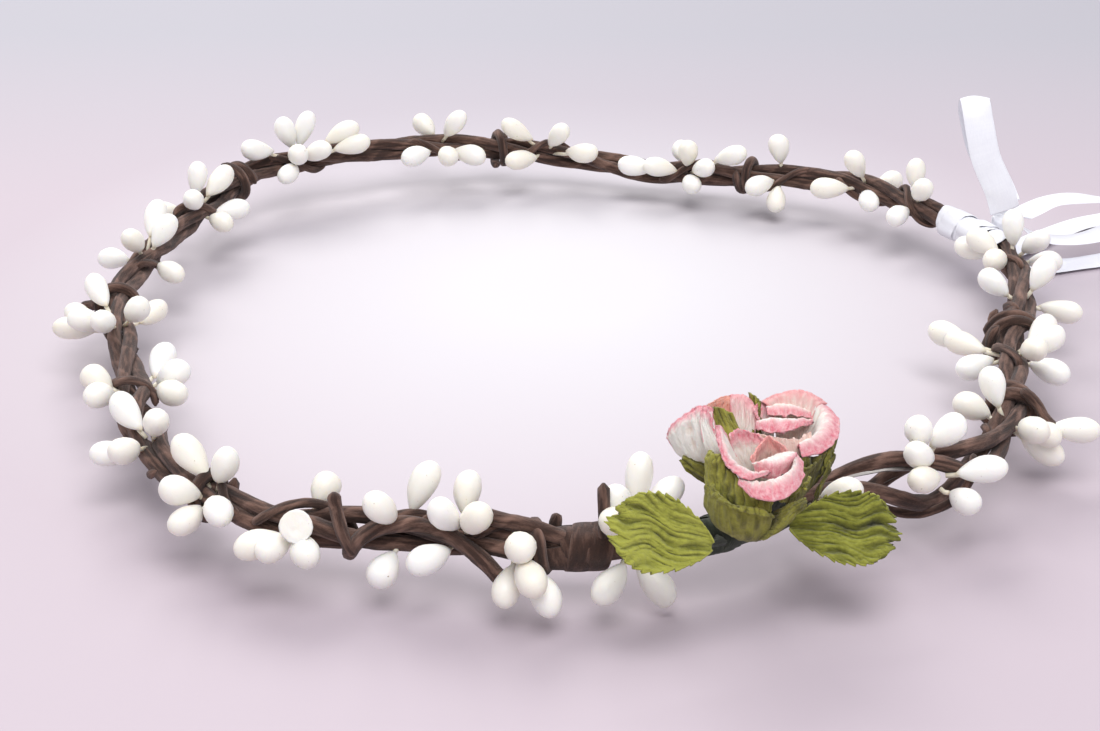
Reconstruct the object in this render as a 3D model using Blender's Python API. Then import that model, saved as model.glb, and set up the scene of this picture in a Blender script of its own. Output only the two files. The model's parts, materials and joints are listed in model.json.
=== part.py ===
"""A wire-vine flower crown: three paper-covered wires twisted into an open hoop, in two lengths that meet in a
taped joint at the front, set with berry sprays, three paper roses and two paper leaves, and tied with a ribbon.

Metres, +Z up. The origin is the centre of the hoop, where the crown of the head comes. The roses are near -Y.
"""

import math

import bmesh
import bpy
from mathutils import Matrix, Vector

for old in list(bpy.data.objects):
    bpy.data.objects.remove(old)

MM = 0.001
UP = Vector((0, 0, 1))

# ---- driving dimensions ----

# The hoop's centreline every 15 degrees from +X, as (radius, height) in mm: bent by hand, so not quite round.
HOOP = (
    (92, 0), (97, 0), (95, 0), (94, 0), (88, -2), (87, -4), (89, -2), (94, 0),
    (97, 1), (101, 1), (95, 0), (91, 0), (90, 0), (87, 0), (89, 0), (95, 0),
    (97, 0), (92, 0), (92.5, 0), (91.5, 0), (87, 0), (95, 0), (92.5, 0), (88, 0),
)
STRAND_RADIUS = 1.5 * MM  # a paper-covered wire, over the corners of its six sides
BORE_RADIUS = 0.9 * MM  # the hollow that the wire lies in
WIRE_RADIUS = 0.45 * MM
STRANDS = 3
TWISTS = 9  # turns that the strands make in one full circle
TWIST_RADIUS = 1.95 * MM  # from the vine's centre to a strand's centre
RING_STEP = 5.0  # degrees of hoop between the rings of a strand's mesh
# Stretches where the strands stand apart, as (centre, half width) in degrees and the extra radius.
SPLAYS = ((312, 11, 1.6 * MM), (213, 11, 1.2 * MM))
GAP = 0.3 * MM

LONG_RUN = (22.8, 271.0)  # degrees from the ribbon, round the back and the left, to the taped joint
SHORT_RUN = (272.3, 379.2)  # from the taped joint, under the roses, to the ribbon
JOINT_ANGLE = 271.6  # the hinge that stands for the bending of the vine

BERRY_RADIUS = 2.6 * MM  # over the corners of its mesh
BERRY_LENGTH = 7.4 * MM
STEM_RADIUS = 0.5 * MM
TWIG_RADIUS = 0.62 * MM  # the spray's twig where it is wound round the vine

RIBBON_WIDTH = 6.5 * MM
RIBBON_THICK = 0.5 * MM
TAPE_THICK = 0.9 * MM

ROSE_RADIUS = 6.3 * MM
ROSE_HEIGHT = 8.5 * MM
LEAF_LENGTH = 16.5 * MM
LEAF_WIDTH = 12.0 * MM
LEAF_THICK = 0.8 * MM


# ---- materials ----

def material(name, colour, roughness, metallic=0.0):
    made = bpy.data.materials.new(name)
    made.use_nodes = True
    shader = made.node_tree.nodes["Principled BSDF"]
    shader.inputs["Base Color"].default_value = (*colour, 1)
    shader.inputs["Roughness"].default_value = roughness
    shader.inputs["Metallic"].default_value = metallic
    made.diffuse_color = (*colour, 1)
    return made


VINE_PAPER = material("vine_paper", (0.13, 0.07, 0.05), 0.85)
IRON_WIRE = material("iron_wire", (0.45, 0.44, 0.42), 0.35, 1.0)
BERRY_FOAM = material("berry_foam", (0.82, 0.80, 0.70), 0.4)
PETAL_PAPER = material("petal_paper", (0.88, 0.52, 0.50), 0.9)
LEAF_PAPER = material("leaf_paper", (0.30, 0.36, 0.06), 0.85)
BROWN_TAPE = material("brown_tape", (0.16, 0.09, 0.07), 0.8)
GREEN_TAPE = material("green_tape", (0.10, 0.13, 0.09), 0.8)
SATIN = material("satin_ribbon", (0.86, 0.87, 0.92), 0.3)


# ---- the hoop's line ----

def hoop_centre(angle):
    """The vine's centre at an angle in degrees, on a smooth closed curve through HOOP."""
    place = (angle % 360) * len(HOOP) / 360
    first = int(place)
    t = place - first
    before, here, there, after = (Vector(HOOP[(first + i) % len(HOOP)]) for i in (-1, 0, 1, 2))
    radius, height = MM * (
        here
        + t / 2 * (there - before)
        + t * t / 2 * (2 * before - 5 * here + 4 * there - after)
        + t ** 3 / 2 * (3 * (here - there) + after - before)
    )
    turn = math.radians(angle)
    return Vector((radius * math.cos(turn), radius * math.sin(turn), height))


def outward(angle):
    return Vector((math.cos(math.radians(angle)), math.sin(math.radians(angle)), 0))


def clock(angle, hour):
    """A direction square to the vine: 12 is up, 3 away from the head, 6 down and 9 towards the head."""
    turn = math.radians(30 * hour)
    return math.cos(turn) * UP + math.sin(turn) * outward(angle)


def along(angle):
    """The vine's direction, anticlockwise seen from above."""
    return (hoop_centre(angle + 1) - hoop_centre(angle - 1)).normalized()


def spread(angle):
    """How far the strands' centres are from the vine's centre."""
    extra = 0
    for centre, half, wide in SPLAYS:
        away = abs((angle - centre + 180) % 360 - 180)
        if away < half:
            extra += wide * (1 + math.cos(math.pi * away / half)) / 2
    return TWIST_RADIUS + extra


def vine_radius(angle):
    """The radius that holds every strand at this angle."""
    return spread(angle) + STRAND_RADIUS


def strand_centre(angle, strand):
    hour = 12 * (TWISTS * angle / 360 + strand / STRANDS)
    return hoop_centre(angle) + spread(angle) * clock(angle, hour)


def steps(start, end, step):
    count = max(1, math.ceil(abs(end - start) / step))
    return [start + (end - start) * i / count for i in range(count + 1)]


# ---- mesh helpers ----

def frames(points, sides, scale=(1, 1)):
    """A matrix at each point, with its Z along the path and its X as near as it can be to that point's side."""
    made = []
    for i, point in enumerate(points):
        ahead = (points[min(i + 1, len(points) - 1)] - points[max(i - 1, 0)]).normalized()
        side = (sides[i] - ahead * sides[i].dot(ahead)).normalized()
        axes = Matrix((side * scale[0], ahead.cross(side) * scale[1], ahead)).transposed().to_4x4()
        made.append(Matrix.Translation(point) @ axes)
    return made


def ring_edges(verts):
    held = set(verts)
    return list({edge for vert in verts for edge in vert.link_edges if edge.other_vert(vert) in held})


def sweep(bm, places, radius, sides):
    """Draws a ring from place to place, and returns the edges of its first and last rings."""
    verts = bmesh.ops.create_circle(bm, segments=sides, radius=radius, matrix=places[0])["verts"]
    first = edges = ring_edges(verts)
    for here, there in zip(places, places[1:]):
        made = bmesh.ops.extrude_edge_only(bm, edges=edges)["geom"]
        verts = [item for item in made if isinstance(item, bmesh.types.BMVert)]
        bmesh.ops.transform(bm, matrix=there @ here.inverted(), verts=verts)
        edges = ring_edges(verts)
    return first, edges


def rod(bm, places, radius, sides):
    for edges in sweep(bm, places, radius, sides):
        bmesh.ops.contextual_create(bm, geom=edges)


def pipe(bm, places, radius, bore, sides):
    """Draws a ring along the outside, in over the end, back along the bore and out again to where it began."""
    inner = [place @ Matrix.Diagonal((bore / radius, bore / radius, 1, 1)) for place in places]
    sweep(bm, places + inner[::-1] + places[:1], radius, sides)


def turned(bm, profile, sides, place):
    """Turns a closed outline of (radius, height) points about its axis; every radius is above zero."""
    verts = [bm.verts.new((radius, 0, height)) for radius, height in profile]
    edges = [bm.edges.new((vert, verts[i - 1])) for i, vert in enumerate(verts)]
    bmesh.ops.spin(
        bm, geom=verts + edges, cent=(0, 0, 0), axis=(0, 0, 1), angle=math.tau, steps=sides, use_merge=True
    )
    bmesh.ops.transform(bm, matrix=place, verts=bm.verts)


def part(name, bm, finish, origin=None, parent=None):
    """The mesh as an object. With an origin, the object stands there and its mesh is moved back to match."""
    bmesh.ops.remove_doubles(bm, verts=bm.verts, dist=1e-6)
    bmesh.ops.recalc_face_normals(bm, faces=bm.faces)
    mesh = bpy.data.meshes.new(name)
    bm.to_mesh(mesh)
    bm.free()
    mesh.shade_smooth()
    mesh.set_sharp_from_angle(angle=math.radians(40))
    mesh.materials.append(finish)
    made = bpy.data.objects.new(name, mesh)
    bpy.context.scene.collection.objects.link(made)
    if origin is not None:
        mesh.transform(Matrix.Translation(-origin))
        made.location = origin
    if parent is not None:
        made.location = made.location - parent.location
        made.parent = parent
    return made


def pivot(name, place, parent=None):
    made = bpy.data.objects.new(name, None)
    bpy.context.scene.collection.objects.link(made)
    made.location = place if parent is None else place - parent.location
    made.parent = parent
    made.empty_display_size = 5 * MM
    return made


def joined(name, pieces, added, finish, parent=None):
    """One body made of overlapping shells: a Boolean union of them all with one more shell."""
    base = part(name + "_shells", pieces, finish)
    extra = part(name + "_collar", added, finish)
    union = base.modifiers.new("Union", "BOOLEAN")
    union.operation = "UNION"
    union.use_self = True
    union.object = extra
    whole = bpy.data.meshes.new_from_object(base.evaluated_get(bpy.context.evaluated_depsgraph_get()))
    for helper in (base, extra):
        bpy.data.objects.remove(helper)
    bm = bmesh.new()
    bm.from_mesh(whole)
    bpy.data.meshes.remove(whole)
    return part(name, bm, finish, parent=parent)


# ---- the vine ----

right_run = pivot("right_run_pivot", hoop_centre(JOINT_ANGLE))


def vine_run(label, run, parent):
    angles = steps(*run, RING_STEP)
    sides = [outward(angle) for angle in angles]
    for strand in range(STRANDS):
        centres = [strand_centre(angle, strand) for angle in angles]
        paper = bmesh.new()
        pipe(paper, frames(centres, sides), STRAND_RADIUS, BORE_RADIUS, 6)
        part(f"{label}_strand_{strand + 1}", paper, VINE_PAPER, parent=parent)
        wire = bmesh.new()
        rod(wire, frames(centres, sides), WIRE_RADIUS, 4)
        part(f"{label}_wire_{strand + 1}", wire, IRON_WIRE, parent=parent)


vine_run("long", LONG_RUN, None)
vine_run("short", SHORT_RUN, right_run)


def sleeve(name, start, end, thick, finish, parent=None):
    """A band round the whole vine, from one angle to another."""
    angles = steps(start, end, 3)
    inner = max(vine_radius(angle) for angle in angles) + GAP
    band = bmesh.new()
    places = frames([hoop_centre(angle) for angle in angles], [outward(angle) for angle in angles])
    pipe(band, places, inner + thick, inner, 12)
    return part(name, band, finish, parent=parent)


sleeve("joining_tape", 268.2, 271.2, TAPE_THICK, BROWN_TAPE)
sleeve("floral_tape", 283.5, 294.5, TAPE_THICK, GREEN_TAPE, right_run)


# ---- berry sprays ----

# Each spray is wound on at a hoop angle. A berry is (mm along the vine, clock hour, mm from the vine's centre).
LONG_SPRAYS = {
    265.5: ((1, 2, 8), (-1, 4, 8), (5, 4, 9), (3, 3, 10)),
    260: ((3, 1, 8), (-2, 1, 8), (-4, 3, 7.5), (0, 11, 8)),
    254: ((2, 11, 9), (-2, 1, 8), (-1, 4, 7)),
    244.5: ((2, 2, 7.5), (4, 3, 8), (-1, 3, 8), (-4, 3, 8), (0, 10, 7)),
    234: ((3, 12, 8), (7, 2, 7), (1, 3, 8), (-2, 2, 7.5), (-6, 12, 7)),
    221: ((-6, 1, 7), (4, 12, 7.5), (4, 2, 8), (-3, 3, 8)),
    209: ((2, 10, 8.5), (-6, 10, 8), (8, 10, 7.5), (-3, 2, 7.5), (3, 2, 8)),
    190: ((8, 1, 7.5), (2, 2, 8), (-3, 3, 10), (3, 11, 7), (-9, 1, 7), (-8, 9, 8), (-9, 3, 8)),
    168: ((4, 9, 8), (-4, 11, 7.5), (-8, 12, 8), (5, 12, 7.5), (0, 3, 7.5)),
    151: ((-2, 12, 8.5), (6, 11, 8), (-7, 11, 8), (1, 9, 8), (-6, 9, 8), (2, 3, 7)),
    130: ((2, 12, 8.5), (-3, 12, 9), (3, 10, 8.5), (-2, 10, 9), (6, 9, 8), (12, 11, 7.5), (-11, 11, 8), (-12, 10, 8)),
    109: ((8, 9, 8), (0, 9, 8), (-3, 11, 9), (-6, 9, 8), (2, 2, 7)),
    93: ((8, 11, 8), (7, 9, 8), (-3, 11, 8.5), (-9, 10, 8)),
    70: ((6, 10, 8), (-3, 9, 8), (-1, 11, 8.5), (12, 10, 8), (-6, 10, 9), (-12, 11, 8), (3, 2, 7)),
    55: ((2, 9, 8), (-2, 8, 8), (1, 12, 7.5)),
    42: ((1, 11, 8), (-6, 9, 8), (6, 9, 8), (-1, 3, 7)),
    33: ((-2, 9, 8), (-5, 11, 8), (1, 12, 8)),
}
SHORT_SPRAYS = {
    276.5: ((2, 11, 11.5), (-2, 12, 8), (-3, 1, 8), (-4, 4, 7.5), (4, 5, 7.5), (6, 11, 8)),
    297: ((3, 2, 7.5), (-2, 3, 8), (1, 10, 7)),
    310: ((6, 2, 8), (-1, 12, 9), (-4, 1, 8.5), (-6, 2, 9), (0, 3, 9), (4, 12, 9)),
    326: ((-3, 10, 7.5), (2, 11, 7.5), (1, 3, 7), (6, 3, 13), (-5, 2, 7.5), (3, 4, 9)),
    343: ((7, 9, 13), (4, 9, 10), (-6, 9, 8), (8, 2, 7.5), (-7, 1, 7.5), (-3, 3, 8), (2, 2, 8)),
    359: ((3, 10, 7.5), (3, 1, 7.5), (-3, 3, 9)),
    12: ((4, 10, 7.5), (2, 12, 8), (-4, 1, 7.5), (-5, 10, 7), (9, 9, 8), (-1, 3, 8)),
}


def berry(bm, tip, centre):
    """A berry with its narrow end towards its stem's foot."""
    ahead = (centre - tip).normalized()
    side = ahead.orthogonal().normalized()
    place = Matrix.Translation(centre) @ Matrix((side, ahead.cross(side), ahead)).transposed().to_4x4()
    verts = bmesh.ops.create_uvsphere(bm, u_segments=6, v_segments=3, radius=1)["verts"]
    for vert in verts:
        narrow = 1 - 0.32 * max(0, -vert.co.z)
        vert.co.x *= BERRY_RADIUS * narrow
        vert.co.y *= BERRY_RADIUS * narrow
        vert.co.z *= BERRY_LENGTH / 2
    bmesh.ops.transform(bm, matrix=place, verts=verts)


def spray(name, angle, berries, parent):
    """A twig wound once round the vine, with a short stem out to each berry."""
    foot = vine_radius(angle) + GAP + TWIG_RADIUS
    places = []
    for turn in range(9):
        hour = 12 * turn / 9
        point = hoop_centre(angle) + foot * clock(angle, hour)
        places.append(frames([point, point + clock(angle, hour + 3)], [along(angle)] * 2)[0])
    collar = bmesh.new()
    sweep(collar, places + places[:1], TWIG_RADIUS, 3)
    shells = bmesh.new()
    for lean, hour, reach in berries:
        start = hoop_centre(angle) + foot * clock(angle, hour)
        centre = hoop_centre(angle) + lean * MM * along(angle) + reach * MM * clock(angle, hour)
        berry(shells, start, centre)
        rod(shells, frames([start, centre], [along(angle) + 0.4 * UP] * 2), STEM_RADIUS, 3)
    return joined(name, shells, collar, BERRY_FOAM, parent)


for number, (angle, berries) in enumerate(LONG_SPRAYS.items(), 1):
    spray(f"long_spray_{number:02}", angle, berries, None)
for number, (angle, berries) in enumerate(SHORT_SPRAYS.items(), 1):
    spray(f"short_spray_{number:02}", angle, berries, right_run)


# ---- roses ----

# name: hoop angle and clock hour of the stem's foot, then the way in mm from the foot to the base of the petals.
ROSES = {
    "left": (286.6, 12.0, (-1.6, 1.4, 4.6)),
    "front": (288.3, 1.8, (-0.3, -2.4, 5.6)),
    "right": (291.6, 1.0, (1.6, 0.4, 4.6)),
}


def rose(name, angle, hour, way):
    """A wire stem with its calyx, a cup of petals and a bud-like heart, all round one axis."""
    foot = hoop_centre(angle) + (vine_radius(angle) + TAPE_THICK + 3 * GAP + STEM_RADIUS) * clock(angle, hour)
    body = pivot(f"rose_{name}_pivot", foot, right_run)
    stem = Vector(way) * MM
    base = stem.length
    place = frames([foot, foot + stem], [UP.cross(stem)] * 2)[0]
    calyx = (
        (0.2 * MM, 0), (STEM_RADIUS, 0), (STEM_RADIUS, base - 2.4 * MM), (1.6 * MM, base - 1.5 * MM),
        (3.0 * MM, base - 0.2 * MM), (2.2 * MM, base - 0.2 * MM), (0.2 * MM, base - 1 * MM),
    )
    petals = (
        (1.0 * MM, base - 0.1 * MM), (1.8 * MM, base + 0.2 * MM), (4.2 * MM, base + 2.2 * MM),
        (ROSE_RADIUS * 0.92, base + 5.5 * MM), (ROSE_RADIUS, base + ROSE_HEIGHT),
        (ROSE_RADIUS - 0.8 * MM, base + ROSE_HEIGHT), (ROSE_RADIUS * 0.8, base + 5.8 * MM),
        (3.2 * MM, base + 2.9 * MM), (1.0 * MM, base + 0.9 * MM),
    )
    heart = (
        (0.3 * MM, base + 1.3 * MM), (2.2 * MM, base + 3.2 * MM), (3.0 * MM, base + 5.5 * MM),
        (2.2 * MM, base + 7.2 * MM), (0.3 * MM, base + 7.0 * MM),
    )
    # Leaf-like sepals stand round the cup of petals from below.
    sepals = (
        (3.4 * MM, base - 0.6 * MM), (ROSE_RADIUS + 0.4 * MM, base + 3.6 * MM),
        (ROSE_RADIUS - 0.3 * MM, base + 3.8 * MM), (3.4 * MM, base + 0.5 * MM),
    )
    shapes = [("calyx", calyx, 8, LEAF_PAPER), ("petals", petals, 12, PETAL_PAPER), ("heart", heart, 8, PETAL_PAPER)]
    if name == "front":
        shapes.append(("sepals", sepals, 12, LEAF_PAPER))
    for label, outline, sides, finish in shapes:
        bm = bmesh.new()
        turned(bm, outline, sides, place)
        made = part(f"rose_{name}_{label}", bm, finish, origin=foot)
        made.parent = body
        made.location = (0, 0, 0)


for name, (angle, hour, way) in ROSES.items():
    rose(name, angle, hour, way)


# ---- leaves ----

# name: hoop angle and clock hour of the wire's foot, the blade's base and tip in mm, and the way its face looks.
LEAVES = {
    "left": (284.8, 2.4, (20.8, -98.6, 4.4), (5.4, -101.4, 3.0), (0, -0.65, 0.75)),
    "right": (293.6, 2.6, (37.2, -92.0, 4.0), (53.0, -94.5, 4.6), (0, -0.65, 0.75)),
}


def leaf(name, angle, hour, base, tip, face):
    """A cupped paper blade on a short wire."""
    foot = hoop_centre(angle) + (vine_radius(angle) + TAPE_THICK + 3 * GAP + STEM_RADIUS) * clock(angle, hour)
    body = pivot(f"leaf_{name}_pivot", foot, right_run)
    base, tip, face = Vector(base) * MM, Vector(tip) * MM, Vector(face)
    length = (tip - base).normalized()
    across = face.cross(length).normalized()
    normal = length.cross(across)
    blade = bmesh.new()
    verts = bmesh.ops.create_grid(blade, x_segments=9, y_segments=4, size=1)["verts"]
    for vert in verts:
        share = (vert.co.x + 1) / 2
        wide = LEAF_WIDTH / 2 * max(0.16, math.sin(math.pi * share ** 0.85)) * vert.co.y
        cup = 1.2 * MM * vert.co.y ** 2 + 1.0 * MM * math.sin(math.pi * share)
        vert.co = base + LEAF_LENGTH * share * length + wide * across + cup * normal
    bmesh.ops.solidify(blade, geom=blade.faces, thickness=LEAF_THICK)
    made = part(f"leaf_{name}_blade", blade, LEAF_PAPER, origin=foot)
    made.parent = body
    made.location = (0, 0, 0)
    wire = bmesh.new()
    end = base - (1.2 * MM) * length
    rod(wire, frames([foot, (foot + end) / 2 - 0.5 * MM * UP, end], [UP] * 3), STEM_RADIUS, 6)
    made = part(f"leaf_{name}_wire", wire, GREEN_TAPE, origin=foot)
    made.parent = body
    made.location = (0, 0, 0)


for name, values in LEAVES.items():
    leaf(name, *values)


# ---- ribbon ----

def smooth_path(points, per_span):
    """A smooth open curve through the points, which are in mm."""
    points = [Vector(point) * MM for point in points]
    held = [2 * points[0] - points[1], *points, 2 * points[-1] - points[-2]]
    path = []
    for before, here, there, after in zip(held, held[1:], held[2:], held[3:]):
        for i in range(per_span):
            t = i / per_span
            path.append(
                here
                + t / 2 * (there - before)
                + t * t / 2 * (2 * before - 5 * here + 4 * there - after)
                + t ** 3 / 2 * (3 * (here - there) + after - before)
            )
    return [*path, points[-1]]


def strip(name, points, side):
    """A flat length of ribbon, with its width towards side."""
    path = smooth_path(points, 3)
    flat = Matrix.Diagonal((RIBBON_WIDTH / math.sqrt(2), RIBBON_THICK / math.sqrt(2), 1, 1))
    corner = Matrix.Rotation(math.radians(45), 4, "Z")
    places = [place @ flat @ corner for place in frames(path, [Vector(side)] * len(path))]
    bm = bmesh.new()
    rod(bm, places, 1, 4)
    return part(name, bm, SATIN)


# The knot sits on the outside of the hoop, over the gap between the vine's two ends.
KNOT_ANGLE = 21.0
KNOT_HOUR = 2.5
KNOT_SIZE = (3.8 * MM, 2.2 * MM, 3.0 * MM)  # half sizes: along the vine, away from it and upright
LOOP_UP = (
    (95.6, 35.4, 5.4), (94.0, 35.6, 10), (90.6, 37.0, 17), (88.9, 39.4, 24), (88.2, 43.0, 28.5),
    (88.9, 46.8, 24.5), (91.2, 46.0, 16.5), (95.0, 41.6, 9), (96.6, 39.2, 5.4),
)
LOOP_SIDE = (
    (99.9, 38.2, 3.2), (108, 43, 4.6), (119, 48, 3.0), (128.5, 51.5, -1.5), (119.5, 49, -5.8), (108.5, 44, -4.6),
    (100.0, 39.0, 0.2),
)
TAIL_FRONT = (
    (97.0, 35.6, -1.9), (99.4, 36, -6.2), (104, 37.5, -9.2), (113, 41, -9.8), (126, 45, -9.8), (140, 47, -9.8),
    (152, 46, -9.8),
)
TAIL_BACK = (
    (97.4, 40.2, -1.6), (98.6, 43.5, -6.6), (102, 48, -9.4), (111, 57, -9.8), (123, 66, -9.8), (136, 71, -9.8),
    (147, 72, -9.8),
)

sleeve("ribbon_band_left", 23.0, 26.6, RIBBON_THICK, SATIN)
sleeve("ribbon_band_right", 375.4, 379.0, RIBBON_THICK, SATIN, right_run)

middle = hoop_centre(KNOT_ANGLE)
reach = vine_radius(KNOT_ANGLE) + 2 * GAP + RIBBON_THICK + KNOT_SIZE[1]
knot = bmesh.new()
axes = Matrix((along(KNOT_ANGLE), outward(KNOT_ANGLE), UP)).transposed().to_4x4()
place = Matrix.Translation(middle + reach * clock(KNOT_ANGLE, KNOT_HOUR)) @ axes @ Matrix.Diagonal((*KNOT_SIZE, 1))
bmesh.ops.create_uvsphere(knot, u_segments=10, v_segments=6, radius=1, matrix=place)
part("ribbon_knot", knot, SATIN)

strip("ribbon_loop_up", LOOP_UP, (1, 0.1, 0))
strip("ribbon_loop_side", LOOP_SIDE, (-0.4, 1, 0))
strip("ribbon_tail_front", TAIL_FRONT, (-0.1, 1, 0))
strip("ribbon_tail_back", TAIL_BACK, (-0.6, 1, 0))
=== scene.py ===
"""The looks of a wire-vine flower crown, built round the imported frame. Metres, +Z up, the roses near -Y."""

import json
import math
import random

import bmesh
import bpy
from mathutils import Matrix, Vector, noise
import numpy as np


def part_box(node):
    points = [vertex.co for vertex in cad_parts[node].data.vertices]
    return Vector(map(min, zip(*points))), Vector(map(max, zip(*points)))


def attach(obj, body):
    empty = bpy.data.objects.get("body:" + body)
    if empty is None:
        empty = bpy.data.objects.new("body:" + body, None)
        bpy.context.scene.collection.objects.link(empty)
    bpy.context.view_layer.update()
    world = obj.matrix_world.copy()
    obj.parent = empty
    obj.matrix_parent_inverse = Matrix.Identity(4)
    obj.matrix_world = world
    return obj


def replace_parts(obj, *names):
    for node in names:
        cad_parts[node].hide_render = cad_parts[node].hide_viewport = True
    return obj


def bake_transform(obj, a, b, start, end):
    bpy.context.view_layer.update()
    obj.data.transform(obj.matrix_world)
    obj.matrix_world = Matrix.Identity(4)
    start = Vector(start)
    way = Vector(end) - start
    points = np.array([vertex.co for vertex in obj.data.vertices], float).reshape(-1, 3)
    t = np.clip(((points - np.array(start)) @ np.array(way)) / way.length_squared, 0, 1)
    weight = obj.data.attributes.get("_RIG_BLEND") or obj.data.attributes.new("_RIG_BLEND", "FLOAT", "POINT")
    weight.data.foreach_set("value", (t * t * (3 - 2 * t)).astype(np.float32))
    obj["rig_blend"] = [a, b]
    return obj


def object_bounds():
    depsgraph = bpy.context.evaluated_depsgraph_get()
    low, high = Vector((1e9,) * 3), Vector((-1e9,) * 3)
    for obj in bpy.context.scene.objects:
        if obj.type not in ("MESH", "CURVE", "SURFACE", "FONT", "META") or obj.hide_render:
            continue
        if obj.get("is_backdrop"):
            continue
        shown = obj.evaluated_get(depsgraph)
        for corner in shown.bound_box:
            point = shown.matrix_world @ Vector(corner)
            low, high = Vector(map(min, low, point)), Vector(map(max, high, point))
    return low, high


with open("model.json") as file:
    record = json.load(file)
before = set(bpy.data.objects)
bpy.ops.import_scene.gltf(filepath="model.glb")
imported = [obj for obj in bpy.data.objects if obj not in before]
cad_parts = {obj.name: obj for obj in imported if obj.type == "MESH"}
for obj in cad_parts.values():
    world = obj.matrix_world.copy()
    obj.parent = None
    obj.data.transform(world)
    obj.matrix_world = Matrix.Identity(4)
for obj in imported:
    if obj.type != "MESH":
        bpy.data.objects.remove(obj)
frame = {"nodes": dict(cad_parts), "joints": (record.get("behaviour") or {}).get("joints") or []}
cad_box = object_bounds()

# ---- table, light and camera ----
# The crown lies on a pale rosy cloth in a bright white room. A wide window is behind and above it, and the
# eye is low over the table, a little more than a hand's width in front of the roses.

MM = 0.001
UP = Vector((0, 0, 1))
TABLE_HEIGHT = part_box("ribbon_tail_front")[0].z - 0.2 * MM


def dress(made, *finishes):
    """Puts these materials on an object, in place of any that it has."""
    made.data.materials.clear()
    for finish in finishes:
        made.data.materials.append(finish)
    return made


def shader_of(name, colour, roughness):
    """A new material and its Principled shader."""
    finish = bpy.data.materials.new(name)
    finish.use_nodes = True
    shader = finish.node_tree.nodes["Principled BSDF"]
    shader.inputs["Base Color"].default_value = (*colour, 1)
    shader.inputs["Roughness"].default_value = roughness
    return finish, shader


def node(finish, kind, **settings):
    """Adds a node. A setting is one of its properties, or else the value of the input with that name."""
    made = finish.node_tree.nodes.new("ShaderNode" + kind)
    for name, value in settings.items():
        if hasattr(made, name):
            setattr(made, name, value)
        else:
            made.inputs[name.replace("_", " ")].default_value = value
    return made


def link(finish, out, into):
    finish.node_tree.links.new(out, into)


def mixed(finish, share, low, high):
    """A colour that goes from low to high with share. Either may be a colour or a node's output."""
    mix = node(finish, "Mix", data_type="RGBA")
    link(finish, share, mix.inputs[0])
    for socket, value in ((mix.inputs[6], low), (mix.inputs[7], high)):
        if isinstance(value, tuple):
            socket.default_value = (*value, 1)
        else:
            link(finish, value, socket)
    return mix.outputs[2]


def ramped(finish, value, low, high, bottom=0.0, top=1.0):
    """The value's stretch from low to high, drawn out to bottom..top and cut off there."""
    made = node(finish, "MapRange", From_Min=low, From_Max=high, To_Min=bottom, To_Max=top)
    link(finish, value, made.inputs["Value"])
    return made.outputs["Result"]


TABLE_CLOTH, cloth_shader = shader_of("table_cloth", (0.50, 0.43, 0.475), 0.6)
cloth = bmesh.new()
cloth_place = Matrix.Translation((0, 1.5, TABLE_HEIGHT))
bmesh.ops.create_grid(cloth, x_segments=1, y_segments=1, size=3, matrix=cloth_place)
cloth_mesh = bpy.data.meshes.new("table_cloth")
cloth.to_mesh(cloth_mesh)
cloth.free()
table = bpy.data.objects.new("table_cloth", cloth_mesh)
bpy.context.scene.collection.objects.link(table)
dress(table, TABLE_CLOTH)
table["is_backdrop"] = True

# The cloth is palest in the middle of the crown, where a pool of light is painted on it, and greyer towards the
# back.
cloth_spot = node(TABLE_CLOTH, "TexCoord").outputs["Object"]
light_pool_distance = node(TABLE_CLOTH, "VectorMath", operation="DISTANCE")
link(TABLE_CLOTH, cloth_spot, light_pool_distance.inputs[0])
light_pool_distance.inputs[1].default_value = (0, 0.03, TABLE_HEIGHT)
far_side = node(TABLE_CLOTH, "SeparateXYZ")
link(TABLE_CLOTH, cloth_spot, far_side.inputs[0])
away = ramped(TABLE_CLOTH, light_pool_distance.outputs["Value"], 0.02, 0.13)
# The pale colour is the painted pool of light; the rosy one is the cloth's own.
cloth_and_light_pool = mixed(TABLE_CLOTH, away, (0.645, 0.63, 0.655), (0.50, 0.43, 0.475))
back = ramped(TABLE_CLOTH, far_side.outputs["Y"], 0.08, 0.22)
link(TABLE_CLOTH, mixed(TABLE_CLOTH, back, cloth_and_light_pool, (0.42, 0.41, 0.45)), cloth_shader.inputs["Base Color"])

room = bpy.data.worlds.new("white_room")
room.use_nodes = True
room.node_tree.nodes["Background"].inputs["Color"].default_value = (0.90, 0.90, 0.96, 1)
room.node_tree.nodes["Background"].inputs["Strength"].default_value = 0.63
bpy.context.scene.world = room


def soft_light(name, place, aim, size, power, colour):
    light = bpy.data.lights.new(name, "AREA")
    light.shape = "RECTANGLE"
    light.size, light.size_y = size
    light.energy = power
    light.color = colour
    made = bpy.data.objects.new(name, light)
    bpy.context.scene.collection.objects.link(made)
    made.location = place
    made.rotation_euler = (Vector(aim) - made.location).to_track_quat("-Z", "Y").to_euler()


soft_light("window", (-0.35, 0.75, 0.85), (0, 0, 0), (0.9, 0.6), 8.5, (1.0, 0.985, 0.97))
soft_light("ceiling", (0.1, -0.45, 1.0), (0, 0, 0), (0.8, 0.8), 9.0, (1.0, 0.99, 1.0))

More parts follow.
